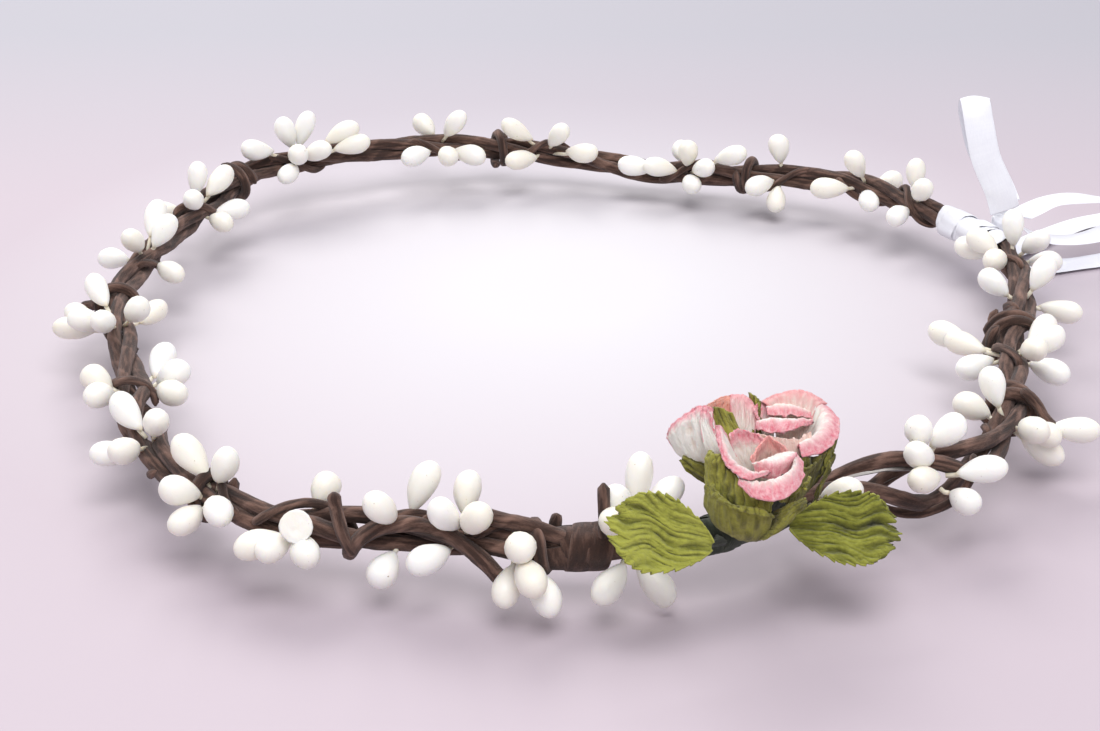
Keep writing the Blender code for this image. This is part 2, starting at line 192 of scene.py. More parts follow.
EYE_DISTANCE = 370 * MM  # from the middle of the hoop
EYE_HEIGHT = math.radians(24.66)  # above the table, as an angle
lens = bpy.data.cameras.new("eye")
lens.lens = 60
lens.sensor_width = 36
eye = bpy.data.objects.new("eye", lens)
bpy.context.scene.collection.objects.link(eye)
eye.location = (0, -EYE_DISTANCE * math.cos(EYE_HEIGHT), EYE_DISTANCE * math.sin(EYE_HEIGHT))
looked_at = Vector((-2.7, -29.4, 0)) * MM
eye.rotation_euler = (looked_at - eye.location).to_track_quat("-Z", "Y").to_euler()
bpy.context.scene.camera = eye
bpy.context.scene.view_settings.view_transform = "Standard"

# ---- vine strands ----
# Three soft iron wires, each rolled in brown crepe paper, are twisted together by hand into a hoop. The paper
# is wound on at a slant, so every strand shows slanting seams and fine creases along its length.

# The hoop's centreline every 15 degrees from +X, as (radius, height) in mm.
HOOP = (
    (92, 0), (97, 0), (95, 0), (94, 0), (88, -2), (87, -4), (89, -2), (94, 0),
    (97, 1), (101, 1), (95, 0), (91, 0), (90, 0), (87, 0), (89, 0), (95, 0),
    (97, 0), (92, 0), (92.5, 0), (91.5, 0), (87, 0), (95, 0), (92.5, 0), (88, 0),
)
TWISTS = 9
STRANDS = 3
STRAND_RADIUS = 1.38 * MM
TWIST_RADIUS = 1.55 * MM  # tighter than the wires' own, so that the paper touches
# Where the strands stand apart: the middle and half the run in degrees, and how far in mm.
SPLAYS = ((310, 13, 2.7), (213, 11, 1.7), (248, 8, 0.9), (150, 9, 0.8), (350, 7, 0.9))
LONG_RUN = (22.9, 271.0)
SHORT_RUN = (268.9, 379.1)


def smooth_between(before, here, there, after, t):
    """The point at t, from 0 to 1, on the way from here to there along a smooth curve through all four."""
    return (
        here
        + t / 2 * (there - before)
        + t * t / 2 * (2 * before - 5 * here + 4 * there - after)
        + t ** 3 / 2 * (3 * (here - there) + after - before)
    )


def hoop_centre(angle):
    """The vine's centre at an angle in degrees, on a smooth closed curve through HOOP."""
    place = (angle % 360) * len(HOOP) / 360
    first = int(place)
    held = (Vector(HOOP[(first + i) % len(HOOP)]) for i in (-1, 0, 1, 2))
    radius, height = MM * smooth_between(*held, place - first)
    turn = math.radians(angle)
    return Vector((radius * math.cos(turn), radius * math.sin(turn), height))


def outward(angle):
    return Vector((math.cos(math.radians(angle)), math.sin(math.radians(angle)), 0))


def clock(angle, hour):
    """A direction square to the vine: 12 is up, 3 away from the head, 6 down and 9 towards the head."""
    turn = math.radians(30 * hour)
    return math.cos(turn) * UP + math.sin(turn) * outward(angle)


def along(angle):
    """The vine's direction, anticlockwise seen from above."""
    return (hoop_centre(angle + 1) - hoop_centre(angle - 1)).normalized()


def spread(angle):
    """How far the strands' centres are from the vine's centre."""
    extra = 0
    for centre, half, wide in SPLAYS:
        away = abs((angle - centre + 180) % 360 - 180)
        if away < half:
            extra += wide * MM * (1 + math.cos(math.pi * away / half)) / 2
    return TWIST_RADIUS + extra


def near_vine(angle, hour, reach):
    """The point this many mm from the vine's centre, on that clock hour."""
    return hoop_centre(angle) + reach * MM * clock(angle, hour)


def strand_centre(angle, strand):
    """A strand's line, hand twisted, so it strays a little from an even helix."""
    wander = noise.noise(Vector((angle / 9, strand * 7.3, 0.5)))
    ease = noise.noise(Vector((angle / 7, strand * 5.1, 9.5)))
    hour = 12 * (TWISTS * angle / 360 + strand / STRANDS) + 0.9 * wander
    return hoop_centre(angle) + (spread(angle) + 0.28 * MM * ease) * clock(angle, hour)


def steps(start, end, step):
    count = max(1, math.ceil(abs(end - start) / step))
    return [start + (end - start) * i / count for i in range(count + 1)]


def frames(points, sides):
    """A matrix at each point, with its Z along the path and its X as near as can be to that point's side."""
    made = []
    for i, point in enumerate(points):
        ahead = (points[min(i + 1, len(points) - 1)] - points[max(i - 1, 0)]).normalized()
        side = (sides[i] - ahead * sides[i].dot(ahead)).normalized()
        axes = Matrix((side, ahead.cross(side), ahead)).transposed().to_4x4()
        made.append(Matrix.Translation(point) @ axes)
    return made


def ring_edges(verts):
    held = set(verts)
    return list({edge for vert in verts for edge in vert.link_edges if edge.other_vert(vert) in held})


def tube(bm, places, outline, segments):
    """Draws a ring from place to place and closes both ends. outline(turn, length) gives the ring's radius and
    its relief from 0 to 1. A vertex keeps its place on the unbent tube in grain, and the relief in raised."""
    grain = bm.verts.layers.float_vector.get("grain") or bm.verts.layers.float_vector.new("grain")
    raised = bm.verts.layers.float.get("raised") or bm.verts.layers.float.new("raised")
    ring = bmesh.ops.create_circle(bm, segments=segments, radius=STRAND_RADIUS, matrix=places[0])["verts"]
    bmesh.ops.contextual_create(bm, geom=ring_edges(ring))
    length = 0
    shaped = []
    for i, place in enumerate(places):
        if i:
            made = bmesh.ops.extrude_edge_only(bm, edges=ring_edges(ring))["geom"]
            ring = [item for item in made if isinstance(item, bmesh.types.BMVert)]
            bmesh.ops.transform(bm, matrix=place @ places[i - 1].inverted(), verts=ring)
            length += (place.translation - places[i - 1].translation).length
        back = place.inverted()
        for vert in ring:
            spot = back @ vert.co
            turn = math.atan2(spot.y, spot.x)
            radius, relief = outline(turn, length)
            vert[grain] = (STRAND_RADIUS * math.cos(turn), STRAND_RADIUS * math.sin(turn), length)
            vert[raised] = relief
            shaped.append((vert, place @ Vector((radius * math.cos(turn), radius * math.sin(turn), 0))))
    bmesh.ops.contextual_create(bm, geom=ring_edges(ring))
    for vert, spot in shaped:
        vert.co = spot
    return shaped


def crepe(radius, seed, total, taper=0.0, wrap=8.5 * MM):
    """The outline of a wire rolled in crepe paper: slanting seams, creases, and ends that may taper."""
    def outline(turn, length):
        around = Vector((math.cos(turn), math.sin(turn), 0))
        fat = noise.noise(Vector((length / (14 * MM), seed, 3)))
        crease = 1 - 2 * abs(noise.noise(around * 1.9 + Vector((seed, 0, length / (9 * MM)))))
        fine = noise.noise(around * 4.5 + Vector((0, seed, length / (3.5 * MM))))
        slack = 0.25 * noise.noise(Vector((length / (11 * MM), seed, 0)))
        seam = (length / wrap + turn / math.tau + slack) % 1
        lap = max(0, 1 - seam * 3.2) if seam > 0.03 else seam / 0.03
        # The relief shapes the paper and also drives the painted shade and light of the paper shaders.
        relief = min(1, max(0, 0.30 + 0.42 * crease + 0.30 * fine + 0.30 * lap))
        end = max(0, min(length, total - length))
        narrow = 1 if end >= taper else 0.25 + 0.75 * math.sqrt(max(0, end) / taper)
        return (radius * (0.94 + 0.10 * fat) + (0.30 * relief - 0.13) * MM) * narrow, relief
    return outline


def path_length(points):
    return sum((there - here).length for here, there in zip(points, points[1:]))


def piece(name, bm, *finishes):
    """The mesh as an object at the origin, smooth, with its doubles merged and its faces pointing out."""
    bmesh.ops.remove_doubles(bm, verts=bm.verts, dist=1e-6)
    bmesh.ops.recalc_face_normals(bm, faces=bm.faces)
    mesh = bpy.data.meshes.new(name)
    bm.to_mesh(mesh)
    bm.free()
    mesh.shade_smooth()
    made = bpy.data.objects.new(name, mesh)
    bpy.context.scene.collection.objects.link(made)
    return dress(made, *finishes)


def stretched_noise(finish, source, scale, detail=4.0, roughness=0.55):
    """Noise on the source's coordinates, which are multiplied by scale, per metre."""
    mapping = node(finish, "Mapping")
    mapping.inputs["Scale"].default_value = scale
    link(finish, source, mapping.inputs["Vector"])
    made = node(finish, "TexNoise", Scale=1.0, Detail=detail, Roughness=roughness)
    link(finish, mapping.outputs["Vector"], made.inputs["Vector"])
    return made.outputs["Fac"]


def summed(finish, *terms):
    """Each term is a node's output and the share that it counts for."""
    total = None
    for value, share in terms:
        scaled = node(finish, "Math", operation="MULTIPLY_ADD")
        link(finish, value, scaled.inputs[0])
        scaled.inputs[1].default_value = share
        if total is None:
            scaled.inputs[2].default_value = 0
        else:
            link(finish, total, scaled.inputs[2])
        total = scaled.outputs[0]
    return total


def bumped(finish, shader, height, distance, strength=1.0):
    bump = node(finish, "Bump", Strength=strength, Distance=distance)
    link(finish, height, bump.inputs["Height"])
    link(finish, bump.outputs["Normal"], shader.inputs["Normal"])


def crepe_paper(name, dark, middle, light):
    """Wrinkled paper: painted shade darkens its creases and painted light makes its ridges and seams pale, both
    from the relief in raised, over the paper's own fibres and blotches.
    """
    finish, shader = shader_of(name, middle, 0.85)
    place = node(finish, "Attribute", attribute_name="grain").outputs["Vector"]
    raised = node(finish, "Attribute", attribute_name="raised").outputs["Fac"]
    fibres = stretched_noise(finish, place, (2600, 2600, 380), 5, 0.7)
    blotches = stretched_noise(finish, place, (420, 420, 160), 3)
    fuzz = stretched_noise(finish, place, (7000, 7000, 3500), 2)
    # The relief in raised paints shade into the creases and light onto the ridges; the fibres, blotches and
    # fuzz are the paper's own grain.
    grain_and_painted_shading = summed(finish, (raised, 0.75), (fibres, 0.75), (blotches, 0.35), (fuzz, 0.2))
    deep = mixed(finish, ramped(finish, grain_and_painted_shading, 0.55, 1.02), dark, middle)
    link(finish, mixed(finish, ramped(finish, grain_and_painted_shading, 1.0, 1.42), deep, light), shader.inputs["Base Color"])
    shader.inputs["Specular IOR Level"].default_value = 0.3
    shader.inputs["Sheen Weight"].default_value = 0.14
    shader.inputs["Sheen Roughness"].default_value = 0.6
    bumped(finish, shader, summed(finish, (fibres, 1.0), (fuzz, 0.4)), 0.25 * MM, 0.9)
    return finish


VINE_PAPER = crepe_paper("vine_paper", (0.005, 0.0018, 0.001), (0.050, 0.022, 0.014), (0.22, 0.124, 0.092))

RING_STEP = 0.45  # degrees
BEND_PLACE = Vector(frame["joints"][0]["pos_m"])
BEND_HALF = 8 * MM * along(270)  # the paper bends over this much on each side of the joint


def bends(made):
    """The paper is one length across the joint, so it bends there."""
    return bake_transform(made, "vine", "right_run", start=BEND_PLACE - BEND_HALF, end=BEND_PLACE + BEND_HALF)


def strand(name, run, number, seed):
    angles = steps(*run, RING_STEP)
    centres = [strand_centre(angle, number) for angle in angles]
    places = frames(centres, [outward(angle) for angle in angles])
    paper = bmesh.new()
    tube(paper, places, crepe(STRAND_RADIUS, seed, path_length(centres)), 22)
    return piece(name, paper, VINE_PAPER)


for number in range(STRANDS):
    long_strand = strand(f"long_paper_{number + 1}", LONG_RUN, number, 17.0 * number)
    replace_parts(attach(long_strand, "vine"), f"long_strand_{number + 1}")
    short_strand = strand(f"short_paper_{number + 1}", SHORT_RUN, number, 17.0 * number + 5)
    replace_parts(bends(short_strand), f"short_strand_{number + 1}")

# ---- iron wires ----
# Each strand has a soft annealed wire at its heart, grey and a little scaly. Only the cut ends show.

IRON, iron_shader = shader_of("iron_wire", (0.20, 0.19, 0.18), 0.42)
iron_shader.inputs["Metallic"].default_value = 1.0
scale_marks = stretched_noise(IRON, node(IRON, "TexCoord").outputs["Object"], (1800, 1800, 1800), 4, 0.7)
iron_grey = mixed(IRON, scale_marks, (0.08, 0.07, 0.065), (0.42, 0.40, 0.38))
link(IRON, iron_grey, iron_shader.inputs["Base Color"])
link(IRON, ramped(IRON, scale_marks, 0.3, 0.7, 0.3, 0.6), iron_shader.inputs["Roughness"])
for number in range(1, STRANDS + 1):
    dress(frame["nodes"][f"long_wire_{number}"], IRON)
    dress(frame["nodes"][f"short_wire_{number}"], IRON)

# ---- lashings and bare twigs ----
# Where the florist ended one length of paper-covered wire, its tail was wound round the vine and pinched off.
# A few cut twigs stand up from the vine, or reach out of it to a berry.


def with_ends(points):
    """The points, and one more beyond each end that keeps the curve's direction there."""
    return [2 * points[0] - points[1], *points, 2 * points[-1] - points[-2]]


def smooth_line(points, per_span):
    """Points on a smooth open curve, this many for each span, without the last end."""
    held = with_ends([Vector(point) for point in points])
    spans = zip(held, held[1:], held[2:], held[3:])
    return [smooth_between(*span, i / per_span) for span in spans for i in range(per_span)]


def vine_path(points, count=8):
    """A smooth line through points given as (hoop angle, clock hour, mm from the vine's centre)."""
    return [*(near_vine(*spot) for spot in smooth_line(points, count)), near_vine(*points[-1])]


def twig(bm, points, radius, seed, taper=0.0, segments=14, count=8):
    path = vine_path(points, count)
    middle = hoop_centre(points[0][0])
    outline = crepe(radius, seed, path_length(path), taper)
    tube(bm, frames(path, [point - middle for point in path]), outline, segments)


# name: the body, the radius in mm, how far the ends taper in mm, and the line.
TWIGS = {
    "stub_twig": ("vine", 1.3, 0.6, ((270.3, 1, 2.4), (267.5, 0.3, 3.6), (264.2, 0.2, 4.5), (261.6, 0, 5.2))),
    "hooked_twig": ("vine", 1.35, 2.5, (
        (248.2, 8, 2.2), (249.2, 5, 3.6), (251, 2.5, 4.0), (254.5, 1.2, 3.8),
        (258.5, 1.6, 3.6), (262, 3.0, 4.2), (263.8, 4.4, 5.2), (264.2, 5.0, 7.0),
    )),
    "knot_tail_up": ("vine", 1.1, 0.8, (
        (250.2, 4, 4.2), (249.4, 2.4, 4.6), (248.2, 0.8, 5.0), (247.7, 0.2, 7.2),
    )),
    "cut_twig": ("right_run", 0.95, 0.5, ((273.8, 1.5, 1.6), (273.8, 0.6, 5.5), (273.7, 0.2, 12.2))),
    "side_twig": ("right_run", 0.9, 2.0, (
        (330.4, 11, 3.8), (330, 1.2, 4.2), (328.9, 2.6, 6.0), (327.9, 3.1, 9.6),
    )),
    "back_stub": ("vine", 1.2, 1.2, ((184, 10, 3.0), (182.5, 2, 3.8), (181, 3.2, 4.6), (180.4, 3.4, 8.2))),
}
for seed, (name, (body, radius, taper, line)) in enumerate(TWIGS.items(), 40):
    paper = bmesh.new()
    twig(paper, line, radius * MM, seed, taper * MM)
    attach(piece(name, paper, VINE_PAPER), body)

LASHING_RADIUS = 1.1 * MM
# name: the body, the middle angle, how far its turns run along the vine in degrees, the turns, the first hour.
LASHINGS = {
    "lashing_1": ("right_run", 331.0, 5.5, 1.1, 8.5),
    "lashing_2": ("right_run", 330.2, -5.5, 1.1, 8.0),
    "lashing_8": ("right_run", 349.4, 5.0, 1.2, 8.0),
    "lashing_9": ("right_run", 348.6, -5.5, 1.2, 8.5),
    "lashing_10": ("vine", 268.0, 2.6, 1.2, 8.5),
    "lashing_3": ("vine", 181.6, 2.0, 1.4, 5.0),
    "lashing_4": ("vine", 100.0, 2.0, 1.5, 2.0),
    "lashing_5": ("vine", 233.0, 1.6, 1.3, 6.0),
    "lashing_6": ("vine", 140.0, 1.8, 1.4, 9.0),
    "lashing_7": ("vine", 60.0, 1.8, 1.5, 4.0),
}
for seed, (name, (body, middle, run, turns, hour)) in enumerate(LASHINGS.items(), 60):
    line = []
    for i in range(15):
        share = i / 14
        lift = 1.5 * abs(2 * share - 1) ** 8
        angle = middle + run * (share - 0.5)
        reach = (spread(angle) + STRAND_RADIUS) / MM + 0.55 + lift
        line.append((angle, hour + 12 * turns * share, reach))
    paper = bmesh.new()
    twig(paper, line, LASHING_RADIUS, seed, 1.4 * MM, 14, 3)
    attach(piece(name, paper, VINE_PAPER), body)

# ---- joining tape ----
# The vine's two lengths meet under a flat strip of the same crepe paper, wound on in two slanting turns.


def wound_strip(bm, start, end, hours, width, thick, lift, seed):
    """A flat strip wound round the vine from one hoop angle to another, between two clock hours."""
    count = max(24, int(abs(hours[1] - hours[0]) * 4))
    path, sides = [], []
    for i in range(count + 1):
        share = i / count
        angle = start + (end - start) * share
        hour = hours[0] + (hours[1] - hours[0]) * share
        over_strands = math.cos(3 * math.tau * (hour / 12 - angle / 40))
        bulge = 0.22 * noise.noise(Vector((hour, seed, 0))) + 0.25 * over_strands
        path.append(near_vine(angle, hour, (spread(angle) + STRAND_RADIUS) / MM + lift + bulge))
        sides.append(along(angle))
    places = [place @ Matrix.Diagonal((width / 2 / STRAND_RADIUS, thick / 2 / STRAND_RADIUS, 1, 1))
              for place in frames(path, sides)]

    def outline(turn, length):
        ripple = noise.noise(Vector((3 * math.cos(turn), seed, length / (3 * MM))))
        # The strip's edges get more relief, from which the paper shaders paint them paler: painted light.
        edge = abs(math.cos(turn)) ** 6
        return STRAND_RADIUS * (1 + 0.10 * ripple), 0.45 + 0.3 * ripple + 0.3 * edge
    tube(bm, places, outline, 24)


tape = bmesh.new()
wound_strip(tape, 269.2, 273.0, (2, 27), 4.4 * MM, 0.55 * MM, 0.25, 1)
wound_strip(tape, 274.0, 270.6, (10, 34), 4.0 * MM, 0.5 * MM, 0.6, 2)
joining = bends(piece("joining_crepe", tape, VINE_PAPER))
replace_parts(joining, "joining_tape")

# ---- berry sprays ----
# The berries are hard cream foam drops on thin stems. Each spray's twig is wound once round the vine.

# A spray is at a hoop angle, and its berries are (mm along the vine, clock hour, mm from the vine's centre).
LONG_SPRAYS = {
    265.5: ((1, 2, 8), (-1, 4, 8), (5, 4, 9), (3, 3, 10)),
    260: ((3, 1, 8), (-2, 1, 8), (-4, 3, 7.5), (0, 11, 8)),
    254: ((2, 11, 9), (-2, 1, 8), (-1, 4, 7)),
    244.5: ((2, 2, 7.5), (4, 3, 8), (-1, 3, 8), (-4, 3, 8), (0, 10, 7)),
    234: ((3, 12, 8), (7, 2, 7), (1, 3, 8), (-2, 2, 7.5), (-6, 12, 7)),
    221: ((-6, 1, 7), (4, 12, 7.5), (4, 2, 8), (-3, 3, 8)),
    209: ((2, 10, 8.5), (-6, 10, 8), (8, 10, 7.5), (-3, 2, 7.5), (3, 2, 8)),
    190: ((8, 1, 7.5), (2, 2, 8), (-3, 3, 10), (3, 11, 7), (-9, 1, 7), (-8, 9, 8), (-9, 3, 8)),
    168: ((4, 9, 8), (-4, 11, 7.5), (-8, 12, 8), (5, 12, 7.5), (0, 3, 7.5)),
    151: ((-2, 12, 8.5), (6, 11, 8), (-7, 11, 8), (1, 9, 8), (-6, 9, 8), (2, 3, 7)),
    130: (
        (2, 12, 8.5), (-3, 12, 9), (3, 10, 8.5), (-2, 10, 9),
        (6, 9, 8), (12, 11, 7.5), (-11, 11, 8), (-12, 10, 8),
    ),
    109: ((8, 9, 8), (0, 9, 8), (-3, 11, 9), (-6, 9, 8), (2, 2, 7)),
    93: ((8, 11, 8), (7, 9, 8), (-3, 11, 8.5), (-9, 10, 8)),
    70: ((6, 10, 8), (-3, 9, 8), (-1, 11, 8.5), (12, 10, 8), (-6, 10, 9), (-12, 11, 8), (3, 2, 7)),
    55: ((2, 9, 8), (-2, 8, 8), (1, 12, 7.5)),
    42: ((1, 11, 8), (-6, 9, 8), (6, 9, 8), (-1, 3, 7)),
    33: ((-2, 9, 8), (-5, 11, 8), (1, 12, 8)),
}
SHORT_SPRAYS = {
    276.5: ((2, 11, 11.5), (-2, 12, 8), (-3, 1, 8), (-4, 4, 7.5), (4, 5, 7.5), (6, 11, 8)),
    297: ((3, 2, 7.5), (-2, 3, 8), (1, 10, 7)),
    310: ((6, 2, 8), (-1, 12, 9), (-4, 1, 8.5), (-6, 2, 9), (0, 3, 9), (4, 12, 9)),
    326: ((-3, 10, 7.5), (2, 11, 7.5), (1, 3, 7), (6, 3, 13), (-5, 2, 7.5), (3, 4, 9)),
    343: ((7, 9, 13), (4, 9, 10), (-6, 9, 8), (8, 2, 7.5), (-7, 1, 7.5), (-3, 3, 8), (2, 2, 8)),
    359: ((3, 10, 7.5), (3, 1, 7.5), (-3, 3, 9)),
    12: ((4, 10, 7.5), (2, 12, 8), (-4, 1, 7.5), (-5, 10, 7), (9, 9, 8), (-1, 3, 8)),
}
BERRY_RADIUS = 2.42 * MM
BERRY_LENGTH = 7.4 * MM
BERRY_STEM_RADIUS = 0.42 * MM
SPRAY_TWIG_RADIUS = 0.78 * MM
DROP_SWELL = 0.4154  # how wide the drop's formula gets, nearly, so the radius is the widest
CUT_SPRAY = 244.5  # the first berry of the spray here has its end cut off
FOOT = 0.92 * MM  # from the strands' outside to where a berry's stem leaves the twig

BERRY_FOAM, berry_shader = shader_of("berry_foam", (0.80, 0.76, 0.65), 0.38)
berry_place = node(BERRY_FOAM, "Attribute", attribute_name="grain").outputs["Vector"]
berry_tone = node(BERRY_FOAM, "Attribute", attribute_name="raised").outputs["Fac"]
tip_tone = node(BERRY_FOAM, "Attribute", attribute_name="tip").outputs["Fac"]
mottle = stretched_noise(BERRY_FOAM, berry_place, (260, 260, 200), 3)
specks = stretched_noise(BERRY_FOAM, berry_place, (1900, 1900, 1900), 2)
grains = stretched_noise(BERRY_FOAM, berry_place, (4200, 4200, 3600), 3)
berry_mix = summed(BERRY_FOAM, (berry_tone, 0.55), (mottle, 0.45))
pale = mixed(BERRY_FOAM, ramped(BERRY_FOAM, berry_mix, 0.25, 0.75), (0.92, 0.91, 0.87), (0.88, 0.84, 0.74))
pale = mixed(BERRY_FOAM, ramped(BERRY_FOAM, tip_tone, 0.45, 1.0), pale, (0.70, 0.62, 0.44))
pale = mixed(BERRY_FOAM, ramped(BERRY_FOAM, specks, 0.72, 0.78), pale, (0.36, 0.28, 0.20))
link(BERRY_FOAM, pale, berry_shader.inputs["Base Color"])
link(BERRY_FOAM, ramped(BERRY_FOAM, mottle, 0.3, 0.7, 0.30, 0.48), berry_shader.inputs["Roughness"])
berry_shader.inputs["Subsurface Weight"].default_value = 0.25
berry_shader.inputs["Subsurface Radius"].default_value = (1.0, 0.8, 0.5)
berry_shader.inputs["Subsurface Scale"].default_value = 0.9 * MM
bumped(BERRY_FOAM, berry_shader, summed(BERRY_FOAM, (grains, 0.5), (mottle, 1.0)), 0.12 * MM, 0.5)


def berry(bm, tip, centre, seed, cut=False):
    """A drop with its thin end towards its stem, a little dented and bent. A cut one has a flat end."""
    grain = bm.verts.layers.float_vector.get("grain") or bm.verts.layers.float_vector.new("grain")
    tone = bm.verts.layers.float.get("raised") or bm.verts.layers.float.new("raised")
    tip_share = bm.verts.layers.float.get("tip") or bm.verts.layers.float.new("tip")
    chance = random.Random(seed)
    wide = chance.uniform(0.93, 1.05)
    reach = min((centre - tip).length + BERRY_LENGTH / 2, 1.25 * BERRY_LENGTH)
    colour = chance.random()
    ahead = (centre - tip).normalized()
    side = (ahead.orthogonal().normalized()) @ Matrix.Rotation(chance.uniform(0, math.tau), 3, ahead)
    place = Matrix.Translation(centre) @ Matrix((side, ahead.cross(side), ahead)).transposed().to_4x4()
    bend = chance.uniform(0, 0.5) * MM
    verts = bmesh.ops.create_uvsphere(bm, u_segments=16, v_segments=14, radius=1)["verts"]
    for vert in verts:
        turn = math.atan2(vert.co.y, vert.co.x)
        share = (vert.co.z + 1) / 2  # 0 at the thin end
        flat = math.hypot(vert.co.x, vert.co.y)
        drop = share ** 0.85 * math.sqrt(1 - share) / DROP_SWELL if flat > 1e-4 else 0
        radius = BERRY_RADIUS * wide * drop
        radius *= 1 + 0.06 * noise.noise(vert.co * 1.3 + Vector((seed, 0, 0)))
        height = BERRY_LENGTH / 2 - (1 - share) * reach
        if cut and height > 0.2 * BERRY_LENGTH:
            height = 0.2 * BERRY_LENGTH + 0.35 * MM * noise.noise(vert.co * 3.1)
            radius *= 1.18
        vert[grain] = (radius * math.cos(turn), radius * math.sin(turn), height + seed * 9 * MM)
        vert[tone] = colour
        vert[tip_share] = max(0, 1 - share * 5)
        shift = bend * (2 * share - 1) ** 2
        vert.co = Vector((radius * math.cos(turn) + shift, radius * math.sin(turn), height))
    bmesh.ops.transform(bm, matrix=place, verts=verts)


def spray(name, node_name, angle, berries, body, seed):
    chance = random.Random(seed)
    foot = (spread(angle) + STRAND_RADIUS + FOOT) / MM
    drops, twigs = bmesh.new(), bmesh.new()
    for number, (lean, hour, reach) in enumerate(berries):
        start = near_vine(angle, hour, foot - 0.7) + 0.25 * lean * MM * along(angle)
        centre = near_vine(angle, hour, reach - 0.7) + lean * MM * along(angle)
        berry(drops, start, centre, seed * 20 + number, cut=(angle == CUT_SPRAY and number == 0))
        inside = near_vine(angle, hour, foot - 2.4) + 0.2 * lean * MM * along(angle)
        tip = centre + (start - centre).normalized() * (BERRY_LENGTH / 2 - 1.3 * MM)
        path = [inside, inside.lerp(tip, 0.5) - 0.25 * MM * UP, tip]
        sides = [along(angle) + 0.4 * UP] * len(path)
        stem = tube(drops, frames(path, sides), lambda turn, length: (BERRY_STEM_RADIUS, 0.5), 8)
        for vert, _ in stem:
            vert[drops.verts.layers.float["tip"]] = 0.8
    # The twig comes out from between the strands, runs slantwise over them and goes in again.
    first, turned = chance.uniform(0, 12), chance.choice((-1, 1)) * chance.uniform(5, 8)
    line = []
    for i in range(11):
        share = i / 10
        sunk = 1.3 * (2 * share - 1) ** 4
        line.append((angle + 9 * (share - 0.5), first + turned * share, foot - 0.75 - sunk))
    twig(twigs, line, SPRAY_TWIG_RADIUS, seed, 1.5 * MM, 12, 3)
    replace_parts(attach(piece(name + "_berries", drops, BERRY_FOAM), body), node_name)
    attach(piece(name + "_twig", twigs, VINE_PAPER), body)


for run, sprays, body in (("long", LONG_SPRAYS, "vine"), ("short", SHORT_SPRAYS, "right_run")):
    for number, (angle, berries) in enumerate(sprays.items(), 1):
        seed = number + (50 if run == "short" else 0)
        spray(f"{run}_{number:02}", f"{run}_spray_{number:02}", angle, berries, body, seed)

# ---- floral tape ----
# Dark green florist's tape is wound round the vine under the roses, and holds their stems and the leaves'.

FLORAL_TAPE = crepe_paper("floral_tape", (0.004, 0.006, 0.003), (0.022, 0.030, 0.016), (0.085, 0.10, 0.065))
FLORAL_ENDS = (283.8, 294.0)
binding = bmesh.new()
wound_strip(binding, *FLORAL_ENDS, (0, 60), 3.6 * MM, 0.4 * MM, 0.0, 3)
wound_strip(binding, FLORAL_ENDS[1] - 1, FLORAL_ENDS[0] + 1, (5, 34), 2.4 * MM, 0.45 * MM, 0.2, 4)
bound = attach(piece("floral_binding", binding, FLORAL_TAPE), "right_run")
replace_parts(bound, "floral_tape")

# ---- roses ----
# Each rose is torn from soft mulberry paper. The petals are cream, dyed pink at their rims, pressed into
# creases by hand and rolled round a wire stem, with green paper sepals glued on from below.


def smooth_at(points, share):
    """The point at this share of a smooth open curve through the points."""
    place = min(share, 0.99999) * (len(points) - 1)
    first = int(place)
    return smooth_between(*with_ends(points)[first:first + 4], place - first)


def paper_sheet(bm, rows, segments, crease, seed, pink_from=1.2, warm=0.0, tone=0.0):
    """A sheet of soft paper through rows of points, from its foot to its rim. Its creases run from foot to rim
    and its rim is torn. Blush says how much dye a vertex has, from pink_from of the way up."""
    layers = bm.verts.layers
    grain = layers.float_vector.get("grain") or layers.float_vector.new("grain")
    raised, blush, warmth = (
        layers.float.get(name) or layers.float.new(name) for name in ("raised", "blush", "warmth")
    )
    rows = [[(FLOWERS_MIDDLE + Vector(point)) * MM for point in row] for row in rows]
    wide = max(path_length(row) for row in rows)
    tall = sum((rows[i + 1][2] - rows[i][2]).length for i in range(len(rows) - 1))
    before = set(bm.verts)
    bmesh.ops.create_grid(bm, x_segments=segments[0], y_segments=segments[1], size=0.5)
    spots = {vert: (vert.co.x + 0.5, vert.co.y + 0.5) for vert in bm.verts if vert not in before}
    for vert, (u, v) in spots.items():
        torn = 0.35 * MM * noise.noise(Vector((u * wide / (1.1 * MM), seed, 1.5))) * v ** 3
        side = 0.03 * noise.noise(Vector((v * tall / (1.3 * MM), seed, 6.5)))
        up_sheet = [smooth_at(row, max(0, u + side * (2 * u - 1))) for row in rows]
        vert.co = smooth_at(up_sheet, min(1, v * (1 + torn / tall)))
    bmesh.ops.recalc_face_normals(bm, faces=[face for face in bm.faces if face.verts[0] in spots])
    bm.normal_update()
    facing = {vert: vert.normal.copy() for vert in spots}
    for vert, (u, v) in spots.items():
        across, up = u * wide / MM, v * tall / MM
        fold = 1 - 2 * abs(noise.noise(Vector((across * 0.75, up * 0.2, seed))))
        crumple = 1 - 2.4 * abs(noise.noise(Vector((across * 0.5, up * 0.45, seed + 2))))
        rib = noise.noise(Vector((across * 2.6 + 0.8 * crumple, up * 0.5, seed + 4)))
        height = 0.40 * fold + 0.30 * crumple + 0.45 * rib
        vert.co += facing[vert] * MM * crease * height * (0.45 + 0.55 * v)
        vert[grain] = (u * wide + seed * 11 * MM, v * tall, 0)
        # The crease relief goes into raised, and the paper shaders paint shade in the folds and light on the
        # ridges from it.
        vert[raised] = min(1, max(0, 0.45 + 0.6 * height + tone))
        edge = max(v, 1 - min(u, 1 - u) * 9 if v > 0.45 else 0)
        vert[blush] = max(0, min(1, (edge - pink_from) / (1.001 - pink_from))) if pink_from < 1 else 0
        vert[warmth] = warm


